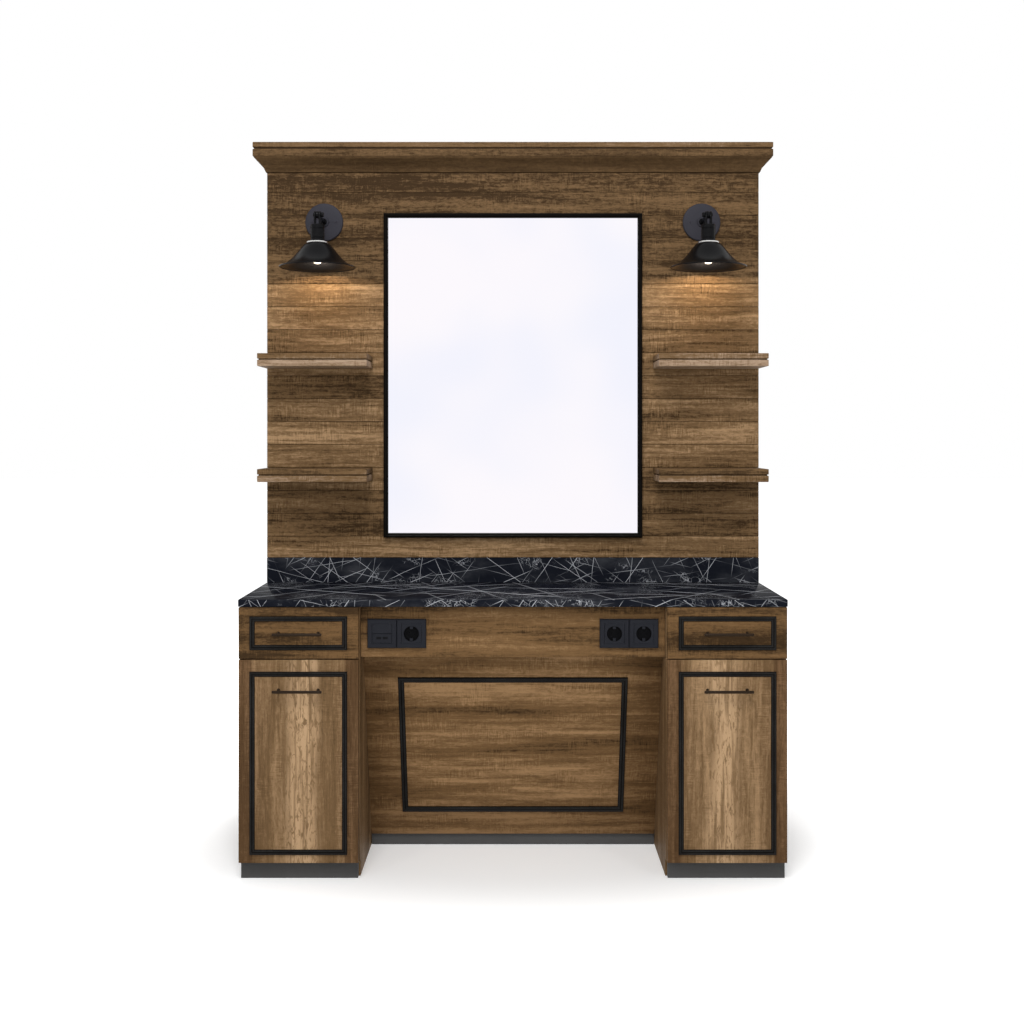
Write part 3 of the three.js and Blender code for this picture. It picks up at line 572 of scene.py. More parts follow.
def start_material(name):
    material = bpy.data.materials.new(name)
    material.use_nodes = True
    tree = Tree(material.node_tree)
    shader = material.node_tree.nodes["Principled BSDF"]
    place = tree.add("ShaderNodeTexCoord").outputs["Object"]
    return material, tree, shader, place


def add_bump(tree, shader, height, strength, distance):
    bump = tree.add("ShaderNodeBump", {"Height": height, "Strength": strength, "Distance": distance})
    tree.feed(shader.inputs["Normal"], bump.outputs["Normal"])


GRAIN_TURNS = {"across": NONE, "upright": (0.0, QUARTER, 0.0), "deep": (0.0, 0.0, QUARTER)}


def wood_material(name, group, grain, pale, bands, coarse, light=None, body=None, shading=None):
    """Brown sawn wood with its grain across, upright or running deep."""
    material, tree, shader, place = start_material(name)
    given = colours()
    inputs = {
        "Vector": tree.scaled(place, WHOLE, GRAIN_TURNS[grain]), "Board": tree.own("board"),
        "Dark": rgba(given.wood_dark), "Body": rgba(body or given.wood_mid),
        "Light": rgba(light or given.wood_light), "Pale": tree.plus(tree.own("tone"), pale),
        "Bands": bands, "Coarse": coarse,
    }
    wood = tree.add("ShaderNodeGroup", inputs, node_tree=group)
    color = wood.outputs["Color"]
    if shading:
        color = shading(tree, place, color)
    tree.feed(shader.inputs["Base Color"], color)
    tree.feed(shader.inputs["Roughness"], wood.outputs["Roughness"])
    shader.inputs["Specular IOR Level"].default_value = 0.08
    add_bump(tree, shader, wood.outputs["Height"], 0.35, 0.0012)
    return material


def heart_streak(tree, place, color):
    """A pale, crackled streak up each bin front, and darker wood towards the front's edges."""
    low, high = corners("front_right_towel_bin")
    middle = (low.x + high.x) / 2
    off_middle, wander_reach = 0.012, 0.075
    shade = (0.52, 0.46, 0.43, 1.0)
    across = tree.math("ABSOLUTE", tree.axes(place)["X"])
    wander = tree.drawn_noise(place, (6.0, 6.0, 3.2), 3.0, 0.55)
    offset = tree.minus(across, middle - off_middle)
    offset = tree.plus(offset, tree.times(tree.around_zero(wander), wander_reach))
    offset = tree.math("ABSOLUTE", offset)
    core = tree.ramp(offset, 0.012, 0.062, 1.0, 0.0)
    bark = tree.drawn_noise(place, (120.0, 60.0, 34.0), 4.0, 0.6, 1.2)
    lines = tree.drawn_noise(place, (95.0, 20.0, 4.0), 4.0, 0.6)
    broken = tree.times(tree.ramp(bark, 0.36, 0.52), tree.ramp(lines, 0.34, 0.56))
    share = tree.times(core, tree.times_plus(broken, 0.75, 0.12))
    margin = tree.ramp(tree.math("ABSOLUTE", tree.minus(across, middle)), 0.119, 0.133, 0.0, 0.9)
    near = tree.most(margin, tree.ramp(offset, 0.06, 0.14, 0.0, 0.30))
    color = tree.blend(near, color, tree.blend(1.0, color, shade, "MULTIPLY"))
    return tree.blend(share, color, rgba(colours().streak))


def painted_knee_shade(tree, place, color):
    """Painted shade: darker wood towards the sides and the foot of the knee space, where the recess lies in
    shade.
    """
    wander_reach, shade = 0.12, (0.45, 0.41, 0.36, 1.0)
    axes = tree.axes(place)
    wander = tree.drawn_noise(place, (3.0, 3.0, 16.0), 3.0, 0.55)
    across = tree.times_plus(tree.around_zero(wander), wander_reach, tree.math("ABSOLUTE", axes["X"]))
    sides = tree.ramp(across, 0.26, 0.40, 0.0, 0.66)
    foot = tree.ramp(axes["Z"], 0.08, 0.20, 0.50, 0.0)
    return tree.blend(tree.most(sides, foot), color, tree.blend(1.0, color, shade, "MULTIPLY"))


# Layers of straight veins: lean, lines in a metre, strength and how little of the stone they cover
UPRIGHT_VEINS = (
    (0.42, 27.0, 1.00, 0.49), (-0.62, 29.0, 0.90, 0.50), (0.95, 27.0, 1.00, 0.50), (-1.15, 26.0, 0.85, 0.51),
    (1.45, 23.0, 0.75, 0.52), (0.14, 31.0, 0.70, 0.51), (-0.25, 30.0, 0.75, 0.52),
)
LEVEL_VEINS = (
    (0.50, 9.0, 0.90, 0.49), (-0.38, 10.0, 0.75, 0.49), (0.14, 9.0, 0.75, 0.49), (-0.90, 10.0, 0.45, 0.49),
    (1.20, 9.0, 0.35, 0.49),
)


def vein_layer(tree, course, layer, shift, edges, waves, fade):
    """Straight veins that all lean one way, broken into lengths that fade at their ends."""
    lean, spread, strength, cover = layer
    turned = tree.scaled(course, WHOLE, (0.0, 0.0, lean), shift)
    line = tree.ramp(tree.lines(turned, spread), *edges, strength, 0.0)
    where = tree.drawn_noise(turned, waves, 2.0, 0.5)
    return tree.times(line, tree.ramp(where, cover, cover + fade))


def stone_material():
    """Polished black stone with long straight veins and patches of crackle."""
    material, tree, shader, place = start_material("Black veined stone")
    given = colours()
    level = tree.own("tone")
    course = tree.warped(place, 6.0, 3.0, 0.012)
    upright = tree.scaled(course, WHOLE, (QUARTER, 0.0, 0.0))
    crackle = tree.ramp(tree.cracks(tree.warped(place, 40.0, 2.0, 0.05), 58.0), 0.0, 0.055, 0.50, 0.0)
    patches = tree.drawn_noise(place, (9.0, 4.0, 12.0), 3.0, 0.6, shift=(5.0, 2.0, 8.0))
    curls = tree.times(crackle, tree.ramp(patches, 0.51, 0.60))
    on_edges = curls
    for count, layer in enumerate(UPRIGHT_VEINS):
        shift = (count * 1.7, count * 0.9, 0.0)
        veins = vein_layer(tree, upright, layer, shift, (0.002, 0.024), (6.0, 26.0, 1.0), fade=0.16)
        on_edges = tree.most(on_edges, veins)
    on_top = tree.times(curls, 0.5)
    for count, layer in enumerate(LEVEL_VEINS):
        shift = (count * 2.3, 0.7, 0.0)
        veins = vein_layer(tree, course, layer, shift, (0.003, 0.036), (2.6, 11.0, 1.0), fade=0.14)
        on_top = tree.most(on_top, veins)
    veins = tree.plus(tree.times(on_edges, tree.minus(1.0, level)), tree.times(on_top, level))
    cloud = tree.drawn_noise(place, (6.0, 6.0, 12.0), 5.0, 0.62)
    ground = tree.blend(tree.ramp(cloud, 0.42, 0.78, 0.0, 0.050), rgba(given.stone), rgba(given.vein))
    tree.feed(shader.inputs["Base Color"], tree.blend(veins, ground, rgba(given.vein)))
    tree.feed(shader.inputs["Roughness"], tree.times_plus(cloud, 0.10, 0.10))
    shader.inputs["Specular IOR Level"].default_value = 0.002
    return material


def mottled_material(name, group, ground, scale, lift, smooth, rough, metallic=0.0, bump=0.08, specular=0.05):
    """A painted, moulded or metal surface. Its strips with wear and a painted highlight are a little paler.
    """
    material, tree, shader, place = start_material(name)
    inputs = {
        "Vector": place, "Scale": scale, "Ground": rgba(ground), "Smooth": smooth, "Rough": rough,
        "Lift": tree.times_plus(tree.own("tone"), WEAR_AND_HIGHLIGHT, lift),
    }
    mottle = tree.add("ShaderNodeGroup", inputs, node_tree=group)
    tree.feed(shader.inputs["Base Color"], mottle.outputs["Color"])
    tree.feed(shader.inputs["Roughness"], mottle.outputs["Roughness"])
    shader.inputs["Metallic"].default_value = metallic
    shader.inputs["Specular IOR Level"].default_value = specular
    add_bump(tree, shader, mottle.outputs["Height"], bump, 0.0004)
    return material


def mirror_material():
    """Silvered glass with a faint tint, and a painted reflection of soft clouds that drift from warm to cool.
    """
    material, tree, shader, place = start_material("Silvered mirror")
    cool_cloud = (0.890, 0.895, 0.985, 1.0)
    # Painted reflection: soft clouds that shift the glass from its own tint to a cooler one
    painted_cloud_share = tree.ramp(tree.noise(place, 1.6, 2.0, 0.5), 0.42, 0.66)
    tree.feed(shader.inputs["Base Color"], tree.blend(painted_cloud_share, rgba(colours().mirror), cool_cloud))
    tree.feed(shader.inputs["Roughness"], tree.times(tree.noise(place, 30.0, 2.0), 0.02))
    shader.inputs["Metallic"].default_value = 1.0
    return material


def bulb_material():
    """Lit opal glass, faintly clouded."""
    material, tree, shader, place = start_material("Lit opal bulb")
    warm, pale = (1.0, 0.93, 0.82, 1.0), (1.0, 0.97, 0.92, 1.0)
    tree.feed(shader.inputs["Base Color"], tree.blend(tree.noise(place, 60.0, 2.0), warm, pale))
    shader.inputs["Emission Color"].default_value = rgba(colours().lamp_light)
    shader.inputs["Emission Strength"].default_value = 3.0
    shader.inputs["Roughness"].default_value = 0.25
    return material


class STATION_OT_finishes(bpy.types.Operator):
    """Make the finishes of wood, stone, lacquer, metal, plastic and glass"""

    bl_idname = "station.finishes"
    bl_label = "Finishes"

    def execute(self, context):
        given = colours()
        grain, mottle = grain_group(), mottle_group()
        warm = {"light": given.warm_light, "body": given.warm_mid}
        # Key, name, run of the grain, paleness, strength of bands and of fine grain, and what else differs
        woods = (
            ("planks", "Planks", "across", 0.04, 1.0, 1.15, {}),
            ("cove", "Cornice cove", "across", 0.0, 0.45, 0.35, {}),
            ("across", "Boards across", "across", 0.0, 1.4, 0.8, warm),
            # The knee panels carry painted shade at their sides and foot
            ("knee", "Knee panels", "across", -0.01, 1.25, 0.8, {**warm, "shading": painted_knee_shade}),
            ("upright", "Boards upright", "upright", -0.04, 0.9, 0.6, {}),
            ("deep", "Boards deep", "deep", -0.02, 0.9, 0.6, {}),
            ("bins", "Bin fronts", "upright", 0.06, 0.8, 0.7, {"shading": heart_streak}),
            ("weathered", "Weathered boards", "across", 0.12, 0.7, 0.8, {"light": given.weathered}),
            ("box", "Box boards", "deep", 0.1, 0.8, 0.5, {"body": given.box_wood}),
        )
        for key, name, run, pale, bands, coarse, other in woods:
            FINISHES[key] = wood_material(name, grain, run, pale, bands, coarse, **other)
        # Key, name, ground, fineness, lift, smoothest and roughest, and what else differs
        surfaces = (
            ("lacquer", "Black lacquer", given.lacquer, 260.0, 0.003, 0.26, 0.42, {"specular": 0.03}),
            ("plinth", "Grey plinth", given.plinth, 420.0, 0.05, 0.42, 0.62, {"specular": 0.12}),
            ("metal", "Black metal", given.metal, 700.0, 0.006, 0.15, 0.30, {"bump": 0.06, "specular": 0.09}),
            ("plate", "Lamp plate", given.plate, 700.0, 0.02, 0.36, 0.52, {"bump": 0.10}),
            ("handle", "Dark bronze", given.handle, 600.0, 0.012, 0.26, 0.44, {}),
            ("bright", "Bright metal", given.bright, 500.0, 0.2, 0.16, 0.30, {"metallic": 1.0, "bump": 0.02}),
            # Cup black paints shade into the socket cups and pin holes
            ("cup", "Cup black", given.cup, 900.0, 0.004, 0.5, 0.7, {}),
            ("plastic", "Black plastic", given.plastic, 900.0, 0.016, 0.36, 0.52, {"bump": 0.1}),
            ("dark", "Shadow groove", given.wood_dark, 300.0, 0.02, 0.7, 0.9, {}),
        )
        for key, name, ground, scale, lift, smooth, rough, other in surfaces:
            FINISHES[key] = mottled_material(name, mottle, ground, scale, lift, smooth, rough, **other)
        FINISHES.update(stone=stone_material(), mirror=mirror_material(), bulb=bulb_material())
        return {"FINISHED"}


class STATION_OT_cornice(bpy.types.Operator):
    """Make the cornice: a cove, two boards and the shadow groove between them"""

    bl_idname = "station.cornice"
    bl_label = "Cornice"

    def execute(self, context):
        low, high = corners("cornice_top")
        lower, groove, upper = 0.022, 0.005, 0.016
        ease, groove_ease = 0.002, 0.0004
        seam = low.z + lower
        # The dark tones of the cornice boards and cove are painted shade at the head of the wall
        put_board(
            "cornice_lower_board", low, (high.x, high.y, seam), "weathered", "wood", ease,
            board=0.31, tone=-0.32, stands_for=["cornice_top"],
        )
        put_board(
            "cornice_upper_board", (low.x, low.y, high.z - upper), high, "weathered", "wood", ease,
            board=0.77, tone=-0.21,
        )
        depth = sizes().groove_depth
        inside = Vector((depth, depth, 0))
        put_board(
            "cornice_groove_strip", Vector((low.x, low.y, seam)) + inside,
            Vector((high.x, high.y, seam + groove)) - inside, "dark", "wood", groove_ease,
        )
        self.cove(high.x - low.x, high.y - low.y, high.x - corners("front_plank_panel")[1].x)
        return {"FINISHED"}

    def cove(self, wide, deep, overhang):
        """A hollow moulding that runs round the head of the wall."""
        low, high = corners("cornice_moulding")
        rise = high.z - low.z
        lip, margin, lift, hollow, steps = 0.003, 0.004, 0.001, 0.0050, 10
        profile = [(overhang, 0.0), (overhang - lip, 0.0)]
        for step in range(steps + 1):
            share = step / steps
            sag = hollow * math.sin(math.pi * share)
            inset = overhang - margin - share * (overhang - 2 * margin) + sag
            profile.append((inset, lift + share * (rise - lift - margin)))
        profile += [(lip, rise - margin / 2), (lip, rise), (overhang, rise)]
        bm = new_shape()
        # The cove's dark tone is painted shade under the boards above it
        add_ring(bm, wide, deep, profile, Matrix.Translation((0, 0, low.z)), board=0.5, tone=-0.20)
        put("cornice_cove", bm, "cove", "wood", stands_for=["cornice_moulding"])


# Painted shade: how much darker the planks are under the shelves, fading down towards the splashback, and
# towards the cornice, counted upwards
PAINTED_PLANK_SHADE = {
    1: 0.01, 2: 0.05, 3: 0.15, 4: 0.12, 8: 0.09, 13: 0.13, 14: 0.18, 15: 0.23, 16: 0.24, 17: 0.26,
}


class STATION_OT_wall(bpy.types.Operator):
    """Make the mirror wall's core and the planks on both faces"""

    bl_idname = "station.wall"
    bl_label = "Mirror wall"

    def execute(self, context):
        low, high = corners("spine_core")
        head = corners("front_plank_panel")[1].z
        put_board(
            "wall_core", low, (high.x, high.y, head), "upright", "wood", board=0.4, stands_for=["spine_core"]
        )
        for face, turn in FACES.items():
            self.planks(face, turn)
        return {"FINISHED"}

    def planks(self, face, turn):
        """Planks from the splashback up to the cornice, with tongues in their joints."""
        given = sizes()
        low, high = corners("front_plank_panel")
        half_gap = given.plank_gap / 2
        stagger, tone_spread = 0.0007, 0.06
        tongue_ease, tongue_tone = 0.0002, -0.25
        seed, stagger_seed = {"front": 0, "rear": 40}[face], 80
        bm = new_shape()
        foot, seam, count = low.z, low.z + given.first_plank, 0
        while foot < high.z - given.plank_gap:
            count += 1
            shade = scatter(count + seed)
            back = Vector((0, stagger * scatter(count + stagger_seed), 0))
            # Each plank's tone differs at random and takes its painted shade
            add_board(
                bm, Vector((low.x, low.y, foot + half_gap)) + back,
                (high.x, high.y, min(seam, high.z) - half_gap), given.plank_chamfer, shade,
                tone=(shade - 0.5) * tone_spread - PAINTED_PLANK_SHADE.get(count, 0.0),
            )
            if seam < high.z:
                add_board(
                    bm, (low.x, low.y + given.plank_tongue, seam - half_gap),
                    (high.x, high.y, seam + half_gap), tongue_ease, shade, tone=tongue_tone,
                )
            foot, seam = seam, seam + given.plank_pitch
        put(f"{face}_planks", bm, "planks", "wood", turn=turn, stands_for=[f"{face}_plank_panel"])


class STATION_OT_mirrors(bpy.types.Operator):
    """Make the mirrors and their black frames"""

    bl_idname = "station.mirrors"
    bl_label = "Mirrors"

    def execute(self, context):
        low, high = corners("front_mirror_frame")
        pane_low, pane_high = corners("front_mirror_glass")
        width, proud, pane_ease = pane_low.x - low.x, high.y - low.y, 0.0008
        profile = [
            (0.0, 0.0), (0.0, proud - 0.004), (0.0015, proud - 0.001), (0.004, proud),
            (0.0065, proud - 0.0006), (0.0072, proud - 0.003), (0.0085, proud - 0.0034),
            (width - 0.001, proud - 0.007), (width - 0.0004, proud - 0.009), (width - 0.0004, 0.0),
        ]
        middle = (low + high) / 2
        place = upright_at((middle.x, high.y, middle.z))
        for face, turn in FACES.items():
            bm = new_shape()
            add_ring(bm, high.x - low.x, high.z - low.z, profile, place)
            put(
                f"{face}_mirror_frame_bars", bm, "lacquer", "lacquer", turn=turn,
                stands_for=[f"{face}_mirror_frame"],
            )
            put_board(
                f"{face}_mirror_pane", pane_low, pane_high, "mirror", "mirror", pane_ease, turn=turn,
                stands_for=[f"{face}_mirror_glass"],
            )
        return {"FINISHED"}


class STATION_OT_stone(bpy.types.Operator):
    """Make the stone worktop and splashbacks"""

    bl_idname = "station.stone"
    bl_label = "Stone"

    def execute(self, context):
        ease, level_over = sizes().stone_ease, 0.7
        bm = new_shape()
        add_board(bm, *corners("worktop"), ease, segments=3)
        tones = bm.faces.layers.float["tone"]
        for face in bm.faces:
            face[tones] = 1.0 if abs(face.normal.z) > level_over else 0.0
        put("worktop_slab", bm, "stone", "stone", stands_for=["worktop"])
        for face, turn in FACES.items():
            put_board(
                f"{face}_splash_slab", *corners("front_splashback"), "stone", "stone", ease / 2, turn=turn,
                stands_for=[f"{face}_splashback"],
            )
        return {"FINISHED"}


# Tones of the lower and the upper board of a shelf. The lower boards are paler, bleached; the upper shelf is
# lighter throughout as painted light from the lamps over it
SHELF_TONES = {"upper": (0.06, -0.10), "lower": (-0.02, -0.22)}


class STATION_OT_shelves(bpy.types.Operator):
    """Make the shelves, each of two boards with a shadow groove"""

    bl_idname = "station.shelves"
    bl_label = "Shelves"

    def execute(self, context):
        given = sizes()
        depth, groove = given.groove_depth, given.shelf_groove
        lower_ease, upper_ease, groove_ease = 0.0022, 0.0018, 0.0003
        count = 0
        for face, turn, side, _ in four_places():
            for level, (lower_tone, upper_tone) in SHELF_TONES.items():
                count += 1
                node = f"{side}_shelf_{level}"
                low, high = corners(f"front_{node}")
                seam = low.z + given.shelf_lower
                over = seam + groove
                bm = new_shape()
                add_board(bm, low, (high.x, high.y, seam), lower_ease, scatter(count), tone=lower_tone)
                add_board(bm, (low.x, low.y, over), high, upper_ease, scatter(count + 9), tone=upper_tone)
                name = f"{face}_{node}"
                put(f"{name}_boards", bm, "weathered", "wood", turn=turn, stands_for=[name])
                put_board(
                    f"{name}_groove", (low.x + depth, low.y + depth, seam),
                    (high.x - depth, high.y, over), "dark", "wood", groove_ease, turn=turn,
                )
        return {"FINISHED"}


def end_board(low, high, sign):
    """Left and right face of a board that closes one end of a box."""
    thick = sizes().board
    return (high.x - thick, high.x) if sign > 0 else (low.x, low.x + thick)


class STATION_OT_cabinets(bpy.types.Operator):
    """Make the two cabinets board by board, with runners, pivot pins and plinths"""

    bl_idname = "station.cabinets"
    bl_label = "Cabinets"

    def execute(self, context):
        board = sizes().board
        for side, sign in SIDES.items():
            low, high = corners(f"{side}_carcass")
            plinth_low, plinth_high = corners(f"{side}_plinth")
            foot = plinth_high.z
            outer, inner = end_board(low, high, sign), end_board(low, high, -sign)
            walls = (min(outer[1], inner[1]), max(outer[0], inner[0]))
            put_board(
                f"{side}_outer_side", (outer[0], low.y, foot), (outer[1], high.y, high.z), "upright", "wood",
                board=0.2, stands_for=[f"{side}_carcass"],
            )
            bm = new_shape()
            join(bm, self.notched(inner, low, high, plinth_high.y - board, foot), board=0.6, tone=0.06)
            put(f"{side}_inner_side", bm, "upright", "wood")
            drawer_foot = self.inner_boards(side, walls, low, high, foot)
            self.runners(side, walls, low, high, drawer_foot)
            self.pins(side, walls)
            self.plinth(side, sign, plinth_low, plinth_high)
        return {"FINISHED"}

    @staticmethod
    def notched(xs, low, high, notch, foot):
        """A side board that stands on the floor, cut back at both ends for the plinths."""
        part = eased_block((xs[0], low.y, foot), (xs[1], high.y, high.z))
        for end in (-notch, notch):
            cut(part, (0, end, 0), (0, 1, 0))
        under = [face for face in part.faces
                 if face.calc_center_median().z < foot + 1e-5 and abs(face.calc_center_median().y) < notch]
        lowered = bmesh.ops.extrude_face_region(part, geom=under)["geom"]
        verts = [item for item in lowered if isinstance(item, bmesh.types.BMVert)]
        bmesh.ops.translate(part, verts=verts, vec=(0, 0, -foot))
        bmesh.ops.delete(part, geom=[face for face in under if face.is_valid], context="FACES_ONLY")
        return part

    def inner_boards(self, side, walls, low, high, foot):
        """Floor, middle wall, boards under the drawers and top rails. Returns the drawer boards' height."""
        board = sizes().board
        left, right = walls
        floor_back, rail_deep, drawer_gap = 0.027, 0.07, 0.0015
        drawer_foot = corners(f"front_{side}_drawer")[0].z - drawer_gap
        bm = new_shape()
        front, back = low.y + floor_back, high.y - floor_back
        add_board(bm, (left, front, foot), (right, back, foot + board), board=0.1)
        add_board(bm, (left, -board / 2, foot + board), (right, board / 2, high.z), board=0.8)
        for edge in (low.y, high.y):
            front, back = sorted((edge, math.copysign(board / 2, edge)))
            add_board(bm, (left, front, drawer_foot - board), (right, back, drawer_foot), board=0.3)
            front, back = sorted((edge, edge - math.copysign(rail_deep, edge)))
            add_board(bm, (left, front, high.z - board), (right, back, high.z), board=0.9)
        put(f"{side}_inner_boards", bm, "deep", "wood")
        return drawer_foot

    def runners(self, side, walls, low, high, drawer_foot):
        """Steel angles under the drawers."""
        lift, tall, ledge, thin = 0.008, 0.012, 0.023, 0.0015
        edge_gap, middle_gap, lip_ease, web_ease = 0.001, 0.022, 0.0004, 0.0003
        foot = drawer_foot + lift
        top = foot + tall
        bm = new_shape()
        for edge in (low.y, high.y):
            front, back = sorted((edge - math.copysign(edge_gap, edge), math.copysign(middle_gap, edge)))
            for wall, inward in zip(walls, (1, -1)):
                lip = sorted((wall, wall + inward * ledge))
                web = sorted((wall, wall + inward * thin))
                add_board(bm, (lip[0], front, top - thin), (lip[1], back, top), lip_ease)
                add_board(bm, (web[0], front, foot), (web[1], back, top - thin), web_ease)
        put(f"{side}_drawer_runners", bm, "bright", "black_metal")

    def pins(self, side, walls):
        """Pins on which the towel bins tilt."""
        reach, radius, ease = 0.015, 0.0039, 0.0005
        bm = new_shape()
        for face in FACES:
            pivot = pivot_of(f"{face}_{side if face == 'front' else OPPOSITE[side]}_bin_tilt")
            for wall, inward in zip(walls, (1, -1)):
                start = (wall, pivot.y, pivot.z)
                add_rod(bm, start, (wall + inward * reach, pivot.y, pivot.z), radius, 20, ease)
        put(f"{side}_pivot_pins", bm, "bright", "black_metal")

    def plinth(self, side, sign, low, high):
        board, ease = sizes().board, 0.0008
        outer = end_board(low, high, sign)
        bm = new_shape()
        add_board(bm, (outer[0], low.y + board, 0), (outer[1], high.y - board, high.z), ease)
        for edge in (low.y, high.y):
            front, back = sorted((edge, edge - math.copysign(board, edge)))
            add_board(bm, (low.x, front, 0), (high.x, back, high.z), ease)
        put(f"{side}_plinth_boards", bm, "plinth", "plinth", stands_for=[f"{side}_plinth"])


class STATION_OT_knee_walls(bpy.types.Operator):
    """Make the aprons, the slanted knee panels with their mouldings, and the kicks"""

    bl_idname = "station.knee_walls"
    bl_label = "Knee walls"

    def execute(self, context):
        given = sizes()
        front = corners("worktop")[0].y
        low, high = corners("front_apron")
        foot, kick = given.kick_height, front + given.kick_recess
        top = Vector((0, front + given.knee_top, low.z))
        lean = given.knee_foot - given.knee_top
        slope = math.atan2(lean, low.z - foot)
        back = top.y + given.board / math.cos(slope)
        down = given.knee_mould_top + given.knee_mould_height / 2
        mould_place = turned_at(top, slope, "X") @ Matrix.Translation((0, 0, -down)) @ UPRIGHT
        panel_ease, soffit_ease, kick_ease = 0.0008, 0.0006, 0.0008
        for (face, turn), apron_grain in zip(FACES.items(), (0.45, 0.15)):
            put_board(
                f"{face}_apron_board", low, high, "across", "wood", board=apron_grain, tone=-0.12, turn=turn,
                stands_for=[f"{face}_apron"],
            )
            panel = eased_block((low.x, top.y, foot), (high.x, back, low.z), panel_ease)
            lowest = [vert for vert in panel.verts if vert.co.z < (low.z + foot) / 2]
            bmesh.ops.translate(panel, verts=lowest, vec=(0, lean, 0))
            bm = new_shape()
            join(bm, panel, board=0.7, tone=0.09)
            add_board(bm, (low.x, high.y, low.z), (high.x, back, low.z + given.soffit), soffit_ease, 0.2)
            put(f"{face}_knee_board", bm, "knee", "wood", turn=turn, stands_for=[f"{face}_knee_panel"])
            put_board(
                f"{face}_kick_board", (low.x, kick, 0), (high.x, kick + given.board, foot), "plinth",
                "plinth", kick_ease, turn=turn,
            )
            put_moulding(
                f"{face}_knee_moulding", given.knee_mould_length, given.knee_mould_height,
                given.knee_mould_width, mould_place, turn=turn,
            )
        return {"FINISHED"}


class STATION_OT_drawers(bpy.types.Operator):
    """Make the drawers: front, moulding, box and handle"""

    bl_idname = "station.drawers"
    bl_label = "Drawers"

    def execute(self, context):
        given = sizes()
        for face, turn, side, _ in four_places():
            name = f"{face}_{side}_drawer"
            placed = {"body": f"{name}_body", "turn": turn}
            low, high = corners(f"front_{side}_drawer")
            middle = (low + high) / 2
            front = low.y + given.mould_proud
            back = front + given.board
            seed = scatter(len(name) + list(SIDES).index(side) * 5)
            put_board(
                f"{name}_front", (low.x, front, low.z), (high.x, back, high.z), "across", "wood",
                board=seed, tone=-0.15, stands_for=[name], **placed,
            )
            put_moulding(
                f"{name}_moulding", given.mould_length, given.drawer_mould, given.mould_width,
                upright_at((middle.x, front, middle.z)), **placed,
            )
            self.box(f"{name}_box", low, high, back, placed)
            put_handle(f"{name}_bar", f"front_{side}_drawer_handle", stands_for=[f"{name}_handle"], **placed)
        return {"FINISHED"}

    def box(self, name, low, high, back, placed):
        """Four walls and a bottom behind the front."""
        wall = sizes().drawer_wall
        inset, foot, tall, wall_ease, base_ease = 0.0295, 0.0188, 0.086, 0.001, 0.0005
        x0, x1 = low.x + inset, high.x - inset
        z0 = low.z + foot
        z1 = z0 + tall
        base = z0 + sizes().drawer_base
        bm = new_shape()
        add_board(bm, (x0, back, z0), (x0 + wall, high.y, z1), wall_ease, 0.3)
        add_board(bm, (x1 - wall, back, z0), (x1, high.y, z1), wall_ease, 0.5)
        add_board(bm, (x0 + wall, high.y - wall, z0), (x1 - wall, high.y, z1), wall_ease, 0.7)
        add_board(bm, (x0 + wall, back, z0), (x1 - wall, back + wall, z1), wall_ease, 0.9)
        add_board(bm, (x0 + wall, back + wall, z0), (x1 - wall, high.y - wall, base), base_ease, 0.1)
        put(name, bm, "box", "wood", **placed)


class STATION_OT_bins(bpy.types.Operator):
    """Make the tilt-out towel bins: front, moulding, tub and handle"""

    bl_idname = "station.bins"
    bl_label = "Towel bins"

    def execute(self, context):
        given = sizes()
        front_ease = 0.0012
        for face, turn, side, _ in four_places():
            name = f"{face}_{side}_towel_bin"
            placed = {"body": f"{face}_{side}_bin_body", "turn": turn}
            low, high = corners(f"front_{side}_towel_bin")
            front = low.y + given.mould_proud
            back = front + given.board
            seed = scatter(list(SIDES).index(side) * 3 + list(FACES).index(face) * 7 + 2)
            panel = eased_block((low.x, front, low.z), (high.x, back, high.z), front_ease)
            self.relieve_foot(panel, back, low.z)
            bm = new_shape()
            join(bm, panel, board=seed)
            put(f"{name}_front", bm, "bins", "wood", stands_for=[name], **placed)
            mould_middle = low.z + given.bin_mould_foot + given.bin_mould / 2
            put_moulding(
                f"{name}_moulding", given.mould_length, given.bin_mould, given.mould_width,
                upright_at(((low.x + high.x) / 2, front, mould_middle)), **placed,
            )
            self.tub(f"{name}_tub", side, low, high, back, placed)
            handle = f"{side}_bin_handle"
            put_handle(f"{name}_bar", f"front_{handle}", stands_for=[f"{face}_{handle}"], **placed)
        return {"FINISHED"}

    @staticmethod
    def relieve_foot(panel, back, foot):
        """Cuts the back of the foot away, so the front swings clear of the cabinet sides."""
        made = cut(panel, (0, back, foot + sizes().foot_relief), (0, 1, -1), clear_outer=True)
        rim = [item for item in made["geom_cut"] if isinstance(item, bmesh.types.BMEdge)]
        bmesh.ops.contextual_create(panel, geom=rim)

    def tub(self, name, side, low, high, back, placed):
        """Open tub with sloping sides and pivot ears at its front foot."""
        wall = sizes().bin_wall
        inset, floor, back_high, front_high, ear_reach = 0.0225, 0.0245, 0.350, 0.440, 0.010
        cheek_ease, ear_ease, back_ease, floor_ease = 0.0012, 0.0008, 0.001, 0.0006
        x0, x1 = low.x + inset, high.x - inset
        z0 = low.z + floor
        pivot = pivot_of(f"front_{side}_bin_tilt")
        bm = new_shape()
        for near in (x0, x1 - wall):
            cheek = eased_block((near, back, z0), (near + wall, high.y, z0 + front_high), cheek_ease)
            rear_top = [vert for vert in cheek.verts
                        if vert.co.z > z0 + front_high / 2 and vert.co.y > (back + high.y) / 2]
            bmesh.ops.translate(cheek, verts=rear_top, vec=(0, 0, back_high - front_high))
            join(bm, cheek, board=0.2)
            add_board(bm, (near, back, low.z), (near + wall, pivot.y + ear_reach, z0), ear_ease, 0.2)
        add_board(bm, (x0 + wall, high.y - wall, z0), (x1 - wall, high.y, z0 + back_high), back_ease, 0.6)
        add_board(bm, (x0 + wall, back, z0), (x1 - wall, high.y - wall, z0 + wall), floor_ease, 0.4)
        put(name, bm, "box", "wood", **placed)


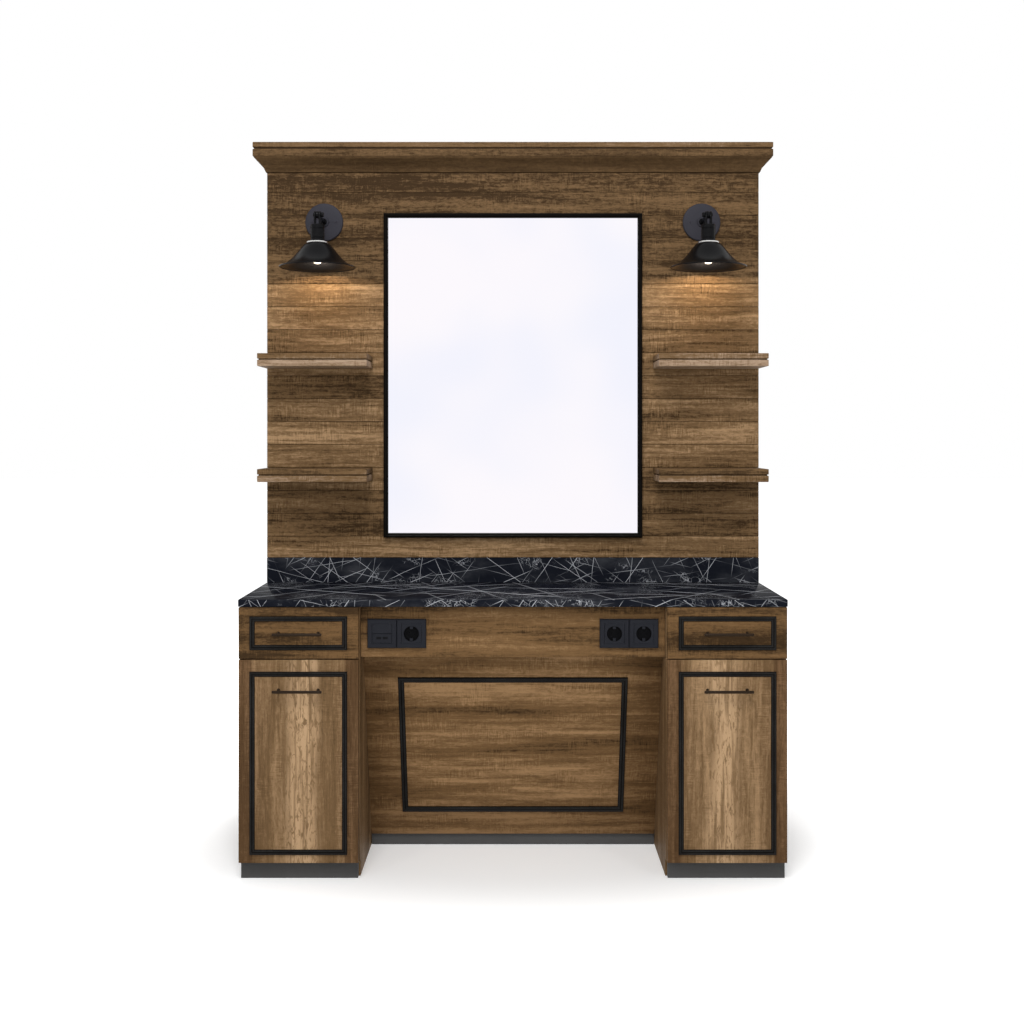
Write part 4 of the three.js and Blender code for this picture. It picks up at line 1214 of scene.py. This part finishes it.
class STATION_OT_outlets(bpy.types.Operator):
    """Make the outlet plates: earthed sockets and a data outlet"""

    bl_idname = "station.outlets"
    bl_label = "Outlets"

    def execute(self, context):
        for face, turn, side, sign in four_places():
            name = f"{face}_{side}_socket_plate"
            low, high = corners(f"front_{side}_socket_plate")
            middle, thick = (low + high) / 2, high.y - low.y
            frames, inserts, cups, contacts = new_shape(), new_shape(), new_shape(), new_shape()
            for step in (-0.5, 0.5):
                place = upright_at((middle.x + step * sizes().outlet_pitch, high.y, middle.z))
                self.frame(frames, place, thick)
                if sign < 0 and step < 0:
                    self.data_outlet(inserts, contacts, place, thick)
                else:
                    self.earthed(inserts, cups, contacts, place, thick)
            put(f"{name}_frames", frames, "plastic", "socket", turn=turn, stands_for=[name])
            put(f"{name}_inserts", inserts, "plastic", "socket", turn=turn)
            put(f"{name}_cups", cups, "cup", "socket", turn=turn)
            put(f"{name}_contacts", contacts, "metal", "black_metal", turn=turn)
        return {"FINISHED"}

    def frame(self, bm, place, thick):
        """A square frame with a sloping rim and an opening for the insert."""
        rim = 0.013
        profile = [
            (0.0, 0.0), (0.0, thick * 0.6), (0.0008, thick * 0.85), (0.0022, thick), (rim - 0.0006, thick),
            (rim, thick - 0.0008), (rim, 0.0),
        ]
        add_ring(bm, sizes().outlet_pitch, sizes().outlet_size, profile, place)

    @staticmethod
    def insert(thick):
        """Side and height of an insert, which lies a little behind its frame."""
        margin, set_back = 0.0262, 0.0006
        return sizes().outlet_size - margin, thick - set_back

    def earthed(self, inserts, cups, contacts, place, thick):
        """A square insert around a round cup with two pin holes and two earth springs."""
        side, lip = self.insert(thick)
        cup, floor = 0.0210, thick - 0.0078
        pin_half, guide_half, spring_half = 0.0095, 0.0042, 0.0022
        part = new_shape()
        level = Matrix.Translation((0, 0, lip))
        size = Matrix.Diagonal((side, side, 1.0, 1.0))
        bmesh.ops.create_grid(part, x_segments=1, y_segments=1, size=0.5, matrix=level @ size)
        bmesh.ops.delete(part, geom=list(part.faces), context="FACES_ONLY")
        bmesh.ops.subdivide_edges(part, edges=part.edges, cuts=7)
        square = list(part.edges)
        ring = bmesh.ops.create_circle(part, cap_ends=False, segments=32, radius=cup, matrix=level)
        circle = list({edge for vert in ring["verts"] for edge in vert.link_edges})
        bmesh.ops.bridge_loops(part, edges=square + circle)
        skirt = bmesh.ops.extrude_edge_only(part, edges=square)["geom"]
        skirt_verts = [item for item in skirt if isinstance(item, bmesh.types.BMVert)]
        bmesh.ops.translate(part, verts=skirt_verts, vec=(0, 0, -lip))
        join(inserts, part, place)
        # The cup floor and the pin bushes are drawn near black as painted shade in the recess and the pin
        # holes
        hollow = [(cup, lip - 0.0001), (cup - 0.0006, lip - 0.0012), (cup - 0.0006, floor), (0.0, floor)]
        add_turned(cups, hollow, place, 32)
        bush = [
            (0.0, floor + 0.0002), (0.0026, floor + 0.0002), (0.0030, floor + 0.0010),
            (0.0042, floor + 0.0010), (0.0048, floor),
        ]
        for across in (-pin_half, pin_half):
            add_turned(cups, bush, place @ Matrix.Translation((across, 0, 0)), 24)
        for up in (-1, 1):
            near, far = sorted((up * 0.0202, up * 0.0125))
            guide = (-guide_half, near, floor), (guide_half, far, lip - 0.0012)
            add_board(inserts, *guide, 0.0008, place=place)
            near, far = sorted((up * 0.0124, up * 0.0110))
            spring = (-spring_half, near, floor), (spring_half, far, lip - 0.002)
            add_board(contacts, *spring, 0.0004, place=place)

    def data_outlet(self, inserts, contacts, place, thick):
        """A square insert whose upper half is drawn as a shut flap, and a dark slot with two ports."""
        side, lip = self.insert(thick)
        half, back, ease = side / 2, 0.001, 0.0004
        port_half, port_spacing = 0.0066, 0.009
        add_board(inserts, (-half, 0.0008, back), (half, half, lip), ease, place=place)
        add_board(inserts, (-half, -half, back), (half, -0.0002, lip - 0.0022), ease, place=place)
        for across in (-port_spacing, port_spacing):
            port_low = (across - port_half, -0.0150, lip - 0.0024)
            port_high = (across + port_half, -0.0092, lip - 0.0014)
            add_board(contacts, port_low, port_high, ease, place=place)


class STATION_OT_lamps(bpy.types.Operator):
    """Make the wall lamps: bracket, clevis, thumbscrew, holder, collar, shade and bulb"""

    bl_idname = "station.lamps"
    bl_label = "Lamps"

    # Radius and edge of the round eye and of the clevis around it
    eye, eye_ease = 0.0098, 0.001

    def execute(self, context):
        for face, turn, side, sign in four_places():
            name = f"{face}_{side}_lamp"
            placed = {"body": f"{name}_body", "turn": turn}
            pivot = pivot_of(f"front_{side}_lamp_tilt")
            axis = Matrix.Translation((pivot.x, pivot.y, 0))
            self.bracket(name, side, pivot, turn)
            self.head(name, side, sign, pivot, axis, placed)
            self.bulb(name, side, pivot, axis, placed)
        return {"FINISHED"}

    def bracket(self, name, side, pivot, turn):
        """A domed wall plate with two screws, and an arm that ends in a round eye."""
        low, high = corners(f"front_{side}_lamp_bracket")
        radius = (high.z - low.z) / 2
        thick, boss, rounding, screw_half = 0.010, 0.014, 0.004, 0.036
        wall = upright_at((pivot.x, high.y, pivot.z))
        plate = [(0.0, 0.0), (radius, 0.0), (radius, rounding)]
        plate += arc(radius - rounding, rounding, rounding, 15, 75, 4)
        plate += [(radius - 0.008, 0.0085), (0.019, thick), (0.016, thick), (0.014, boss), (0.0, boss)]
        screw = [(0.0, 0.0115), (0.0028, 0.0108), (0.0036, 0.0095), (0.0036, 0.007), (0.0, 0.007)]
        bm = new_shape()
        add_turned(bm, plate, wall, 64)
        for across in (-screw_half, screw_half):
            add_turned(bm, screw, wall @ Matrix.Translation((across, 0, 0)), 16)
        put(f"{name}_wall_plate", bm, "plate", "black_metal", turn=turn, stands_for=[f"{name}_bracket"])
        reach = high.y - pivot.y
        arm = [
            (0.0, 0.008), (0.0095, 0.008), (0.0095, 0.020), (0.0082, 0.022), (0.006, 0.024),
            (0.006, reach - 0.026), (0.0076, reach - 0.025), (0.0076, reach - 0.016), (0.006, reach - 0.014),
            (0.0, reach - 0.014),
        ]
        half, neck_high, neck_deep, neck_ease = 0.004, 0.0095, 0.016, 0.0012
        bm = new_shape()
        add_turned(bm, arm, wall, 28)
        add_board(
            bm, (pivot.x - half, pivot.y, pivot.z - neck_high),
            (pivot.x + half, pivot.y + neck_deep, pivot.z + neck_high), neck_ease,
        )
        aside = Vector((half, 0, 0))
        add_rod(bm, pivot - aside, pivot + aside, self.eye, 28, self.eye_ease)
        put(f"{name}_arm", bm, "metal", "black_metal", turn=turn)

    def head(self, name, side, sign, pivot, axis, placed):
        """Clevis, thumbscrew, ribbed holder, bright collar and shade, from the pivot downwards."""
        low, high = corners(f"front_{side}_lamp_head")
        top, collar_top = pivot.z - 0.029, pivot.z - 0.079
        shade_top = collar_top - 0.005
        cheek_inside, cheek_outside = 0.0045, 0.0095
        bm = new_shape()
        for hand in (-1, 1):
            left, right = sorted((pivot.x + hand * cheek_inside, pivot.x + hand * cheek_outside))
            add_rod(bm, (left, pivot.y, pivot.z), (right, pivot.y, pivot.z), self.eye, 28, self.eye_ease)
            add_board(
                bm, (left, pivot.y - self.eye, top - 0.002), (right, pivot.y + self.eye, pivot.z),
                self.eye_ease,
            )
        web = [(0.0, top + 0.0005), (0.015, top + 0.0005), (0.015, top - 0.001), (0.0, top - 0.001)]
        add_turned(bm, web, axis, 32)
        put(f"{name}_clevis", bm, "metal", "lamp_black", **placed)
        screw = [
            (0.0, -0.0125), (0.0045, -0.0125), (0.0052, -0.0118), (0.0052, -0.0096), (0.003, -0.0094),
            (0.003, 0.0092), (0.005, 0.0096), (0.0066, 0.0106), (0.0069, 0.012), (0.0069, 0.0165),
            (0.006, 0.018), (0.0, 0.0183),
        ]
        screw_place = turned_at(pivot, -sign * QUARTER, "Y")
        put_turned(f"{name}_thumbscrew", screw, screw_place, 24, "metal", "lamp_black", **placed)
        radius, groove = 0.0205, 0.0012
        holder = [(0.0, top), (radius - 0.002, top), (radius, top - 0.002)]
        for band in (0.010, 0.038):
            holder += [
                (radius, top - band), (radius - groove, top - band - groove),
                (radius - groove, top - band - 2 * groove), (radius, top - band - 3 * groove),
            ]
        holder += [(radius, collar_top), (0.0, collar_top)]
        put_turned(f"{name}_holder", holder, axis, 40, "metal", "lamp_black", **placed)
        seat, bore = collar_top + 0.0004, 0.014
        collar = [
            (radius, seat), (0.0285, collar_top), (0.0312, collar_top - 0.001), (0.032, collar_top - 0.0026),
            (0.0312, collar_top - 0.0044), (0.030, shade_top), (bore, shade_top), (bore, seat),
            (radius, seat),
        ]
        put_turned(f"{name}_collar", collar, axis, 48, "bright", "lamp_black", **placed)
        shade = self.shade(shade_top, low.z, (high.y - low.y) / 2)
        put_turned(
            f"{name}_shade", shade, axis, 72, "metal", "lamp_black", stands_for=[f"{name}_head"], **placed
        )

    @staticmethod
    def shade(top, rim, radius):
        """A shell with a rounded shoulder, a hollow flank and a rolled rim."""
        bore, neck, wall, roll, steps = 0.015, 0.034, 0.0016, 0.0018, 16
        curl, bend = 0.0015, 1.75
        tall = top - rim

        def flank(share):
            flare = share + (share ** bend - share) * share
            return neck + (radius - curl - neck) * flare

        outside = [(flank(step / steps), top - tall * step / steps) for step in range(steps)]
        outside[0] = (neck - 0.002, top)
        rolled = arc(radius - roll, rim + roll, roll, 90, -180, 8)
        inside = [(x - wall, z - wall * 0.6) for x, z in reversed(outside)]
        return [(bore, top)] + outside + rolled + inside + [(bore, top - wall), (bore, top)]

    def bulb(self, name, side, pivot, axis, placed):
        """Opal bulb with its neck, threaded base and light."""
        low, high = corners(f"front_{side}_lamp_bulb")
        radius, base, tip, pitch, turns = 0.0175, 0.0134, 0.004, 0.003, 7
        middle = low.z + tip + radius
        neck, base_foot, base_top = middle + 0.022, middle + 0.030, high.z - 0.0005
        profile = [(0.0, middle - radius)] + arc(0.0, middle, radius, -85, 40, 18)
        profile += [(base, neck), (base, base_foot), (0.0, base_foot)]
        glass = put_turned(
            f"{name}_opal_bulb", profile, axis, 36, "bulb", "bulb", stands_for=[f"{name}_bulb"], **placed
        )
        glass.visible_shadow = False
        thread = [(0.0, middle + 0.0302)]
        for step in range(turns):
            up = middle + 0.0305 + step * pitch
            thread += [(base - 0.0012, up), (base - 0.0002, up + pitch / 2)]
        thread += [(0.008, base_top), (0.0, base_top)]
        put_turned(f"{name}_bulb_base", thread, axis, 28, "bright", "black_metal", **placed)
        towards_wall, down = 0.045, 0.008
        light = bpy.data.lights.new(f"{name}_light", "POINT")
        light.energy = stage().bulb_watts
        light.color = colours().lamp_light
        light.shadow_soft_size = 0.012
        lamp = bpy.data.objects.new(f"{name}_light", light)
        lamp.location = placed["turn"] @ Vector((pivot.x, pivot.y + towards_wall, middle - down))
        bpy.context.collection.objects.link(lamp)
        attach(lamp, placed["body"])


class STATION_OT_stage(bpy.types.Operator):
    """Make the floor, the even white surround, the softboxes and the camera"""

    bl_idname = "station.stage"
    bl_label = "Stage"

    def execute(self, context):
        given = stage()
        self.surround(context.scene, given)
        self.floor()
        key = {"place": (-0.3, -3.4, 4.2), "aim_height": 1.1, "side": 1.6, "watts": given.key_watts}
        fill = {"place": (0.0, -4.6, 1.4), "aim_height": 1.0, "side": 2.2, "watts": given.fill_watts}
        strip = {"aim_height": 1.5, "side": 0.6, "watts": given.strip_watts}
        for face, turn in FACES.items():
            self.softbox(f"{face}_key", turn, **key, reflected=True)
            self.softbox(f"{face}_fill", turn, **fill)
            for side, sign in SIDES.items():
                self.softbox(f"{face}_{side}_strip", turn, (sign * 1.9, -3.0, 2.0), **strip)
        self.camera(context.scene, given)
        context.scene.view_settings.view_transform = "Standard"
        return {"FINISHED"}

    def surround(self, scene, given):
        """White where it is seen or mirrored, and dimmer as a light."""
        world = bpy.data.worlds.new("Studio")
        scene.world = world
        world.use_nodes = True
        tree = Tree(world.node_tree)
        light = world.node_tree.nodes["Background"]
        light.inputs["Color"].default_value = WHITE
        path = tree.add("ShaderNodeLightPath").outputs
        seen = tree.most(path["Is Camera Ray"], path["Is Glossy Ray"])
        seen = tree.most(seen, path["Is Transmission Ray"])
        tree.feed(light.inputs["Strength"], tree.times_plus(seen, 1.0 - given.sky, given.sky))

    def floor(self):
        """A pale floor, dimmer near the station as painted shade round its base, that fades to white away
        from it, and is white in mirrors.
        """
        half = 30.0
        bm = bmesh.new()
        bmesh.ops.create_grid(bm, x_segments=1, y_segments=1, size=half)
        mesh = bpy.data.meshes.new("studio_floor")
        bm.to_mesh(mesh)
        bm.free()
        material, tree, shader, place = start_material("Pale floor")
        shader.inputs["Base Color"].default_value = (0.86, 0.86, 0.86, 1.0)
        shader.inputs["Roughness"].default_value = 0.9
        shader.inputs["Specular IOR Level"].default_value = 0.1
        shader.inputs["Emission Color"].default_value = WHITE
        path = tree.add("ShaderNodeLightPath").outputs
        inputs = {0: tree.scaled(place, (0.59, 1.0, 1.0))}
        away = tree.add("ShaderNodeVectorMath", inputs, operation="LENGTH").outputs["Value"]
        # Painted shade: the floor glows less near the station, so a grey halo lies round its base
        glow = tree.ramp(away, 0.40, 1.0, 0.20, 0.80)
        tree.feed(shader.inputs["Emission Strength"], tree.times(path["Is Camera Ray"], glow))
        plain = tree.add("ShaderNodeEmission").outputs[0]
        mixed = tree.add("ShaderNodeMixShader", {0: path["Is Glossy Ray"], 1: shader.outputs[0], 2: plain})
        tree.feed(material.node_tree.nodes["Material Output"].inputs["Surface"], mixed.outputs[0])
        mesh.materials.append(material)
        floor = bpy.data.objects.new("studio_floor", mesh)
        bpy.context.collection.objects.link(floor)

    def softbox(self, name, turn, place, aim_height, side, watts, reflected=False):
        """A square light aimed at a height on the station's middle line."""
        light = bpy.data.lights.new(name, "AREA")
        light.size = side
        light.energy = watts
        lamp = bpy.data.objects.new(name, light)
        lamp.visible_glossy = reflected
        lamp.location = turn @ Vector(place)
        aim = turn @ Vector((0.0, 0.0, aim_height)) - lamp.location
        lamp.rotation_euler = aim.to_track_quat("-Z", "Y").to_euler()
        bpy.context.collection.objects.link(lamp)

    def camera(self, scene, given):
        lens = bpy.data.cameras.new("photo_camera")
        lens.sensor_width = 36.0
        lens.lens = lens.sensor_width * given.focal_px / given.image_px
        lens.shift_x = (given.image_px / 2 - given.middle_px) / given.image_px
        lens.shift_y = (given.horizon_px - given.image_px / 2) / given.image_px
        eye = bpy.data.objects.new("photo_camera", lens)
        eye.location = (0, corners("worktop")[0].y - given.camera_away, given.camera_height)
        eye.rotation_euler = (QUARTER, 0, 0)
        bpy.context.collection.objects.link(eye)
        scene.camera = eye


STEPS = (
    STATION_OT_finishes,
    STATION_OT_cornice,
    STATION_OT_wall,
    STATION_OT_mirrors,
    STATION_OT_stone,
    STATION_OT_shelves,
    STATION_OT_cabinets,
    STATION_OT_knee_walls,
    STATION_OT_drawers,
    STATION_OT_bins,
    STATION_OT_outlets,
    STATION_OT_lamps,
    STATION_OT_stage,
)


class STATION_PT_panel(bpy.types.Panel):
    """Lists the station's pieces in the sidebar"""

    bl_label = "Salon station"
    bl_idname = "STATION_PT_panel"
    bl_space_type = "VIEW_3D"
    bl_region_type = "UI"
    bl_category = "Station"

    def draw(self, context):
        for step in STEPS:
            self.layout.operator(step.bl_idname)
        for group in (sizes(), colours(), stage()):
            for name in group.__annotations__:
                self.layout.prop(group, name)


CLASSES = (StationSizes, StationColours, StationStage, *STEPS, STATION_PT_panel)


def register():
    for item in CLASSES:
        bpy.utils.register_class(item)
    bpy.types.Scene.station_sizes = bpy.props.PointerProperty(type=StationSizes)
    bpy.types.Scene.station_colours = bpy.props.PointerProperty(type=StationColours)
    bpy.types.Scene.station_stage = bpy.props.PointerProperty(type=StationStage)


def unregister():
    del bpy.types.Scene.station_stage
    del bpy.types.Scene.station_colours
    del bpy.types.Scene.station_sizes
    for item in reversed(CLASSES):
        bpy.utils.unregister_class(item)


def main():
    register()
    bpy.ops.station.finishes()
    bpy.ops.station.cornice()
    bpy.ops.station.wall()
    bpy.ops.station.mirrors()
    bpy.ops.station.stone()
    bpy.ops.station.shelves()
    bpy.ops.station.cabinets()
    bpy.ops.station.knee_walls()
    bpy.ops.station.drawers()
    bpy.ops.station.bins()
    bpy.ops.station.outlets()
    bpy.ops.station.lamps()
    bpy.ops.station.stage()


if __name__ == "__main__":
    main()
